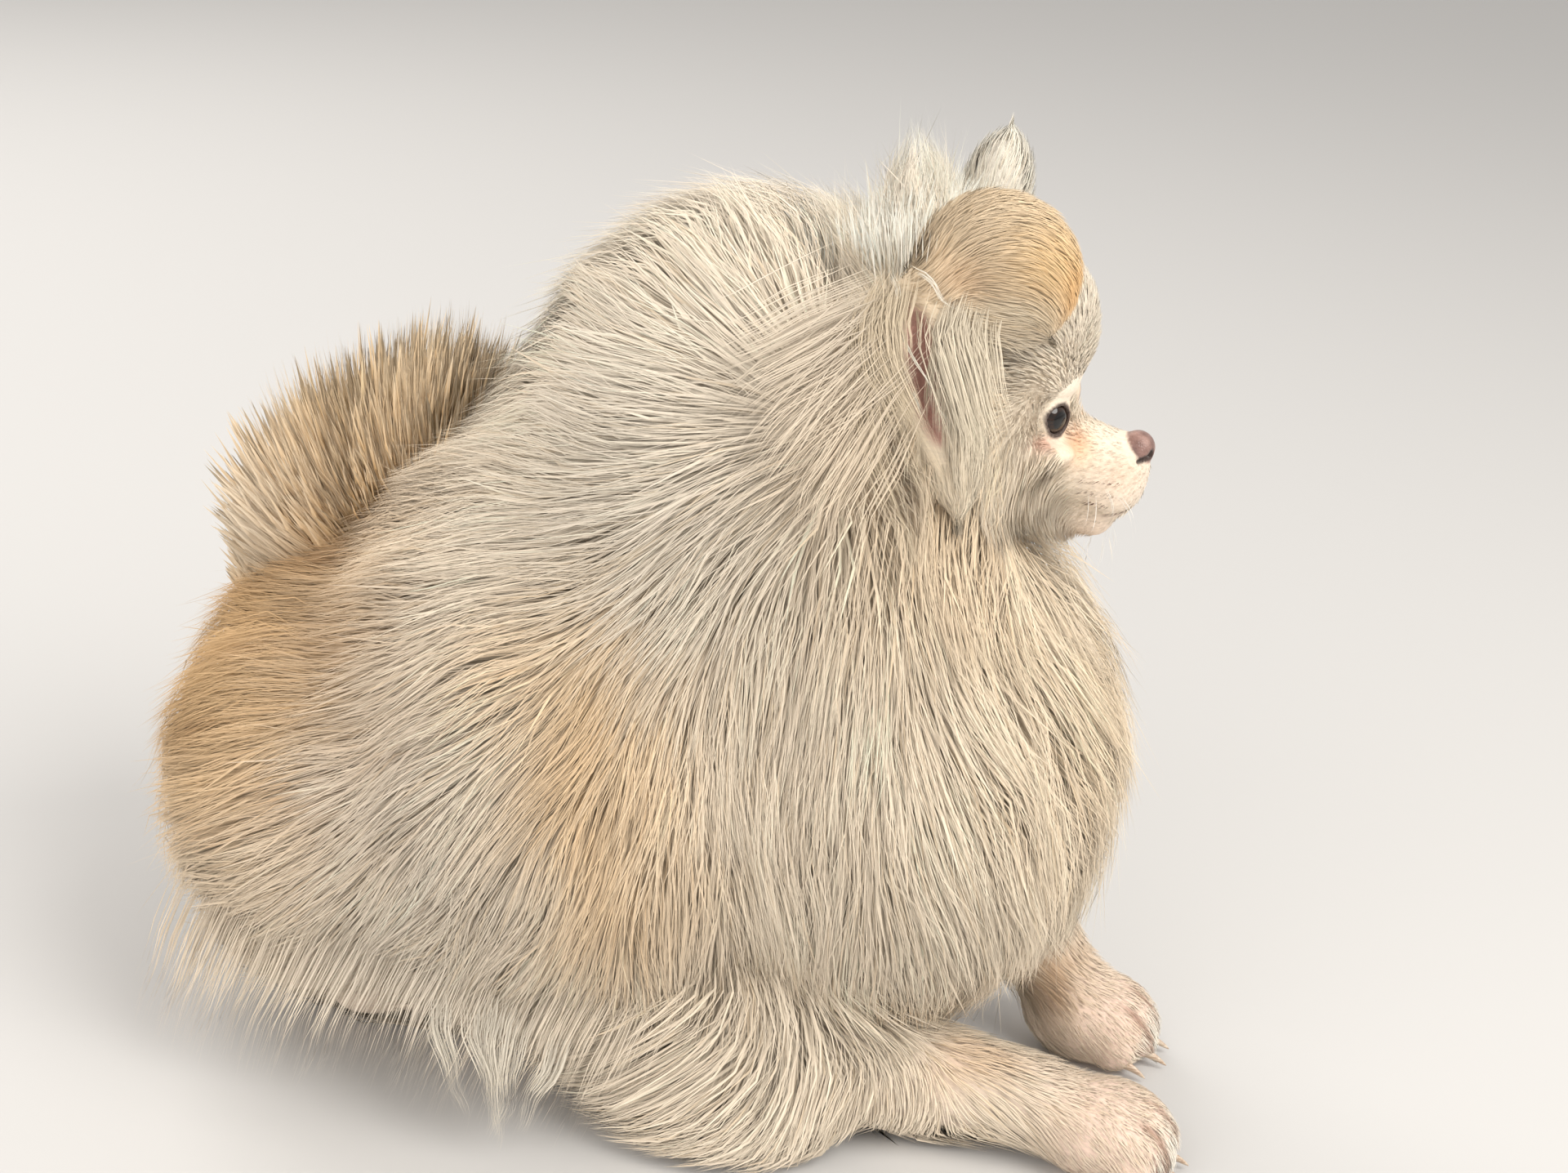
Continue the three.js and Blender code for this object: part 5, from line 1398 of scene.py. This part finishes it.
def make_eye(s, name):
    """An eyeball with a raised cornea, seen through as iris and pupil."""
    nu, nv = 64, 48
    w = np.array([EYE_AXIS[0], EYE_AXIS[1] * s, EYE_AXIS[2]])
    a = unit(np.cross(w, (0, 0, 1.0))); b = np.cross(a, w)
    th = np.concatenate([np.linspace(0, 1.0, 30, endpoint=False), np.linspace(1.0, np.pi, nv - 29)])
    ph = np.arange(nu) / nu * 2 * np.pi
    pts, col = [], []
    for t in th[1:-1]:
        r = EYE_R + 0.55 * float(ramp(0.72 - t, 0, 0.5))
        ring = r * (math.cos(t) * w + math.sin(t) * (np.cos(ph)[:, None] * a + np.sin(ph)[:, None] * b))
        pts.append(ring)
        iris = mix(np.broadcast_to(lin(28, 17, 12), (nu, 3)), lin(48, 30, 20), 0.5 + 0.5 * np.sin(ph * 23 + 3 * np.sin(ph * 7)))
        c = mix(iris, lin(6, 4, 4), np.full(nu, 1 - float(ramp(t, 0.30, 0.37))))
        c = mix(c, lin(20, 13, 11), np.full(nu, float(ramp(t, 0.56, 0.66))))
        c = mix(c, lin(86, 62, 54), np.full(nu, float(ramp(t, 0.80, 0.95))))
        col.append(c)
    tips = np.stack([(EYE_R + 0.55) * w, -EYE_R * w])
    P = np.concatenate(pts + [tips]) + (EYE_C[0], EYE_C[1] * s, EYE_C[2])
    C = np.concatenate(col + [np.stack([lin(6, 4, 4), lin(86, 62, 54)])])
    n = len(pts)
    i, j = np.meshgrid(np.arange(n - 1), np.arange(nu), indexing="ij")
    q = np.stack([i * nu + j, (i + 1) * nu + j, (i + 1) * nu + (j + 1) % nu, i * nu + (j + 1) % nu], -1).reshape(-1, 4)
    jj = np.arange(nu)
    t1 = np.stack([np.full(nu, n * nu), jj, (jj + 1) % nu], -1)
    t2 = np.stack([np.full(nu, n * nu + 1), (n - 1) * nu + (jj + 1) % nu, (n - 1) * nu + jj], -1)
    v = P[q[0]] - (EYE_C[0], EYE_C[1] * s, EYE_C[2])
    if np.dot(np.cross(v[1] - v[0], v[2] - v[1]), v[0]) < 0:
        q, t1, t2 = q[:, ::-1], t1[:, ::-1], t2[:, ::-1]
    loops = np.concatenate([q.ravel(), t1.ravel(), t2.ravel()])
    starts = np.concatenate([np.arange(len(q)) * 4, len(q) * 4 + np.arange(2 * nu) * 3])
    me = new_mesh(name, P, loops, starts)
    paint(me, "tint", C)
    ob = add_object(name, me, EYE_MAT)
    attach(ob, "root")
    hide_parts("eye_left" if s > 0 else "eye_right")


make_eye(1, "eyeball_left")
make_eye(-1, "eyeball_right")


# -------------------------------------------------------------------- claws
def claw_material():
    m, ns, ln = material("claw_horn")
    out = node(ns, "ShaderNodeOutputMaterial")
    bs = node(ns, "ShaderNodeBsdfPrincipled")
    bs.inputs["Roughness"].default_value = 0.38
    bs.inputs["Coat Weight"].default_value = 0.15
    tc = node(ns, "ShaderNodeTexCoord")
    mp = node(ns, "ShaderNodeMapping")
    mp.inputs["Scale"].default_value = (150, 1800, 1800)
    no = node(ns, "ShaderNodeTexNoise")
    no.inputs["Detail"].default_value = 2.0
    no.inputs["Scale"].default_value = 1.0
    cr = node(ns, "ShaderNodeValToRGB")
    cr.color_ramp.elements[0].color = (*lin(176, 146, 122), 1)
    cr.color_ramp.elements[1].color = (*lin(222, 206, 184), 1)
    cr.color_ramp.elements[0].position, cr.color_ramp.elements[1].position = 0.3, 0.7
    ln.new(tc.outputs["Object"], mp.inputs["Vector"])
    ln.new(mp.outputs["Vector"], no.inputs["Vector"])
    ln.new(no.outputs["Fac"], cr.inputs["Fac"])
    ln.new(cr.outputs["Color"], bs.inputs["Base Color"])
    ln.new(bs.outputs["BSDF"], out.inputs["Surface"])
    return m


def make_claws():
    mat = claw_material()
    for k, word in (("r", "right"), ("l", "left")):
        c = LEGS[k]["paw"]
        for i in range(4):
            s = i - 1.5
            base = np.array([c[0] + 21.2 - 3.2 * s * s, c[1] + s * 10.0, c[2] - 8.0])
            fw = np.array([math.cos(math.radians(6 * s)), math.sin(math.radians(6 * s)), 0.0])
            side = np.array([-fw[1], fw[0], 0.0])
            n, m = 9, 12
            P = []
            for a in range(n):
                t = a / (n - 1)
                mid = base + fw * (9.4 * t) - np.array([0, 0, 1.0]) * (0.9 * t + 2.6 * t * t)
                r = 1.75 * (1 - t) ** 0.62 + 0.16
                ph = np.arange(m) / m * 2 * np.pi
                P.append(mid + r * (0.78 * np.cos(ph)[:, None] * side + np.sin(ph)[:, None] * np.array([0.15, 0, 1.0])))
            P = np.concatenate(P + [P[-1].mean(0)[None] + fw * 0.1, P[0].mean(0)[None] - fw * 0.2])
            P[:, 2] = np.maximum(P[:, 2], 0.25)
            i2, j = np.meshgrid(np.arange(n - 1), np.arange(m), indexing="ij")
            q = np.stack([i2 * m + j, i2 * m + (j + 1) % m, (i2 + 1) * m + (j + 1) % m, (i2 + 1) * m + j], -1).reshape(-1, 4)
            jj = np.arange(m)
            t1 = np.stack([(n - 1) * m + jj, (n - 1) * m + (jj + 1) % m, np.full(m, n * m)], -1)
            t2 = np.stack([(jj + 1) % m, jj, np.full(m, n * m + 1)], -1)
            ctr = P[:m].mean(0)
            v = P[q[0]]
            if np.dot(np.cross(v[1] - v[0], v[2] - v[1]), v[0] - ctr) < 0:
                q, t1, t2 = q[:, ::-1], t1[:, ::-1], t2[:, ::-1]
            loops = np.concatenate([q.ravel(), t1.ravel(), t2.ravel()])
            starts = np.concatenate([np.arange(len(q)) * 4, len(q) * 4 + np.arange(2 * m) * 3])
            ob = add_object(f"nail_{word}_{i + 1}", new_mesh(f"nail_{word}_{i + 1}", P, loops, starts), mat)
            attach(ob, "root")
            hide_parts(f"claw_{word}_{i + 1}")


make_claws()


# --------------------------------------------------------- floor, light, camera
def floor():
    me = bpy.data.meshes.new("floor")
    me.from_pydata([(-6, -4, 0), (6, -4, 0), (6, 10, 0), (-6, 10, 0)], [], [(0, 1, 2, 3)])
    m, ns, ln = material("floor_pale")
    out = node(ns, "ShaderNodeOutputMaterial")
    bs = node(ns, "ShaderNodeBsdfPrincipled")
    bs.inputs["Base Color"].default_value = (0.58, 0.57, 0.56, 1)
    bs.inputs["Roughness"].default_value = 0.7
    ln.new(bs.outputs["BSDF"], out.inputs["Surface"])
    ob = add_object("floor", me, m)


floor()

world = bpy.data.worlds.new("studio")
bpy.context.scene.world = world
world.use_nodes = True
bg = world.node_tree.nodes.get("Background") or world.node_tree.nodes.new("ShaderNodeBackground")
bg.inputs["Color"].default_value = (1.0, 0.975, 0.94, 1)
bg.inputs["Strength"].default_value = 0.70


def area(name, at, aim, size, watts, colour):
    l = bpy.data.lights.new(name, "AREA")
    l.shape, l.size, l.energy, l.color = "DISK", size, watts, colour
    ob = bpy.data.objects.new(name, l)
    bpy.context.scene.collection.objects.link(ob)
    ob.location = at
    d = Vector(aim) - Vector(at)
    ob.rotation_euler = d.to_track_quat("-Z", "Y").to_euler()


area("key", (1.2, -0.5, 1.5), (0.02, 0, 0.15), 1.3, 30, (1.0, 0.975, 0.93))
area("back", (-1.3, 0.9, 1.3), (-0.05, 0, 0.15), 1.2, 15, (1.0, 0.97, 0.93))
area("fill", (-0.6, -1.6, 1.1), (0, 0, 0.12), 1.8, 15, (1.0, 0.97, 0.94))

cam = bpy.data.cameras.new("camera")
cam.sensor_fit, cam.sensor_width = "HORIZONTAL", 36.0
cam.lens = 2884.0 / 1920.0 * 36.0
cam.clip_start, cam.clip_end = 0.02, 50
camera = bpy.data.objects.new("camera", cam)
bpy.context.scene.collection.objects.link(camera)
right, up, fwd = (0.96743201, 0.24024091, 0.07974713), (-0.16567309, 0.3627435, 0.91704394), (-0.19138372, 0.90038961, -0.39073113)
camera.matrix_world = Matrix(((right[0], up[0], -fwd[0], 0.17913231), (right[1], up[1], -fwd[1], -0.70684813),
                              (right[2], up[2], -fwd[2], 0.480), (0, 0, 0, 1)))
bpy.context.scene.camera = camera
bpy.context.scene.view_settings.view_transform = "Standard"

bpy.context.view_layer.update()
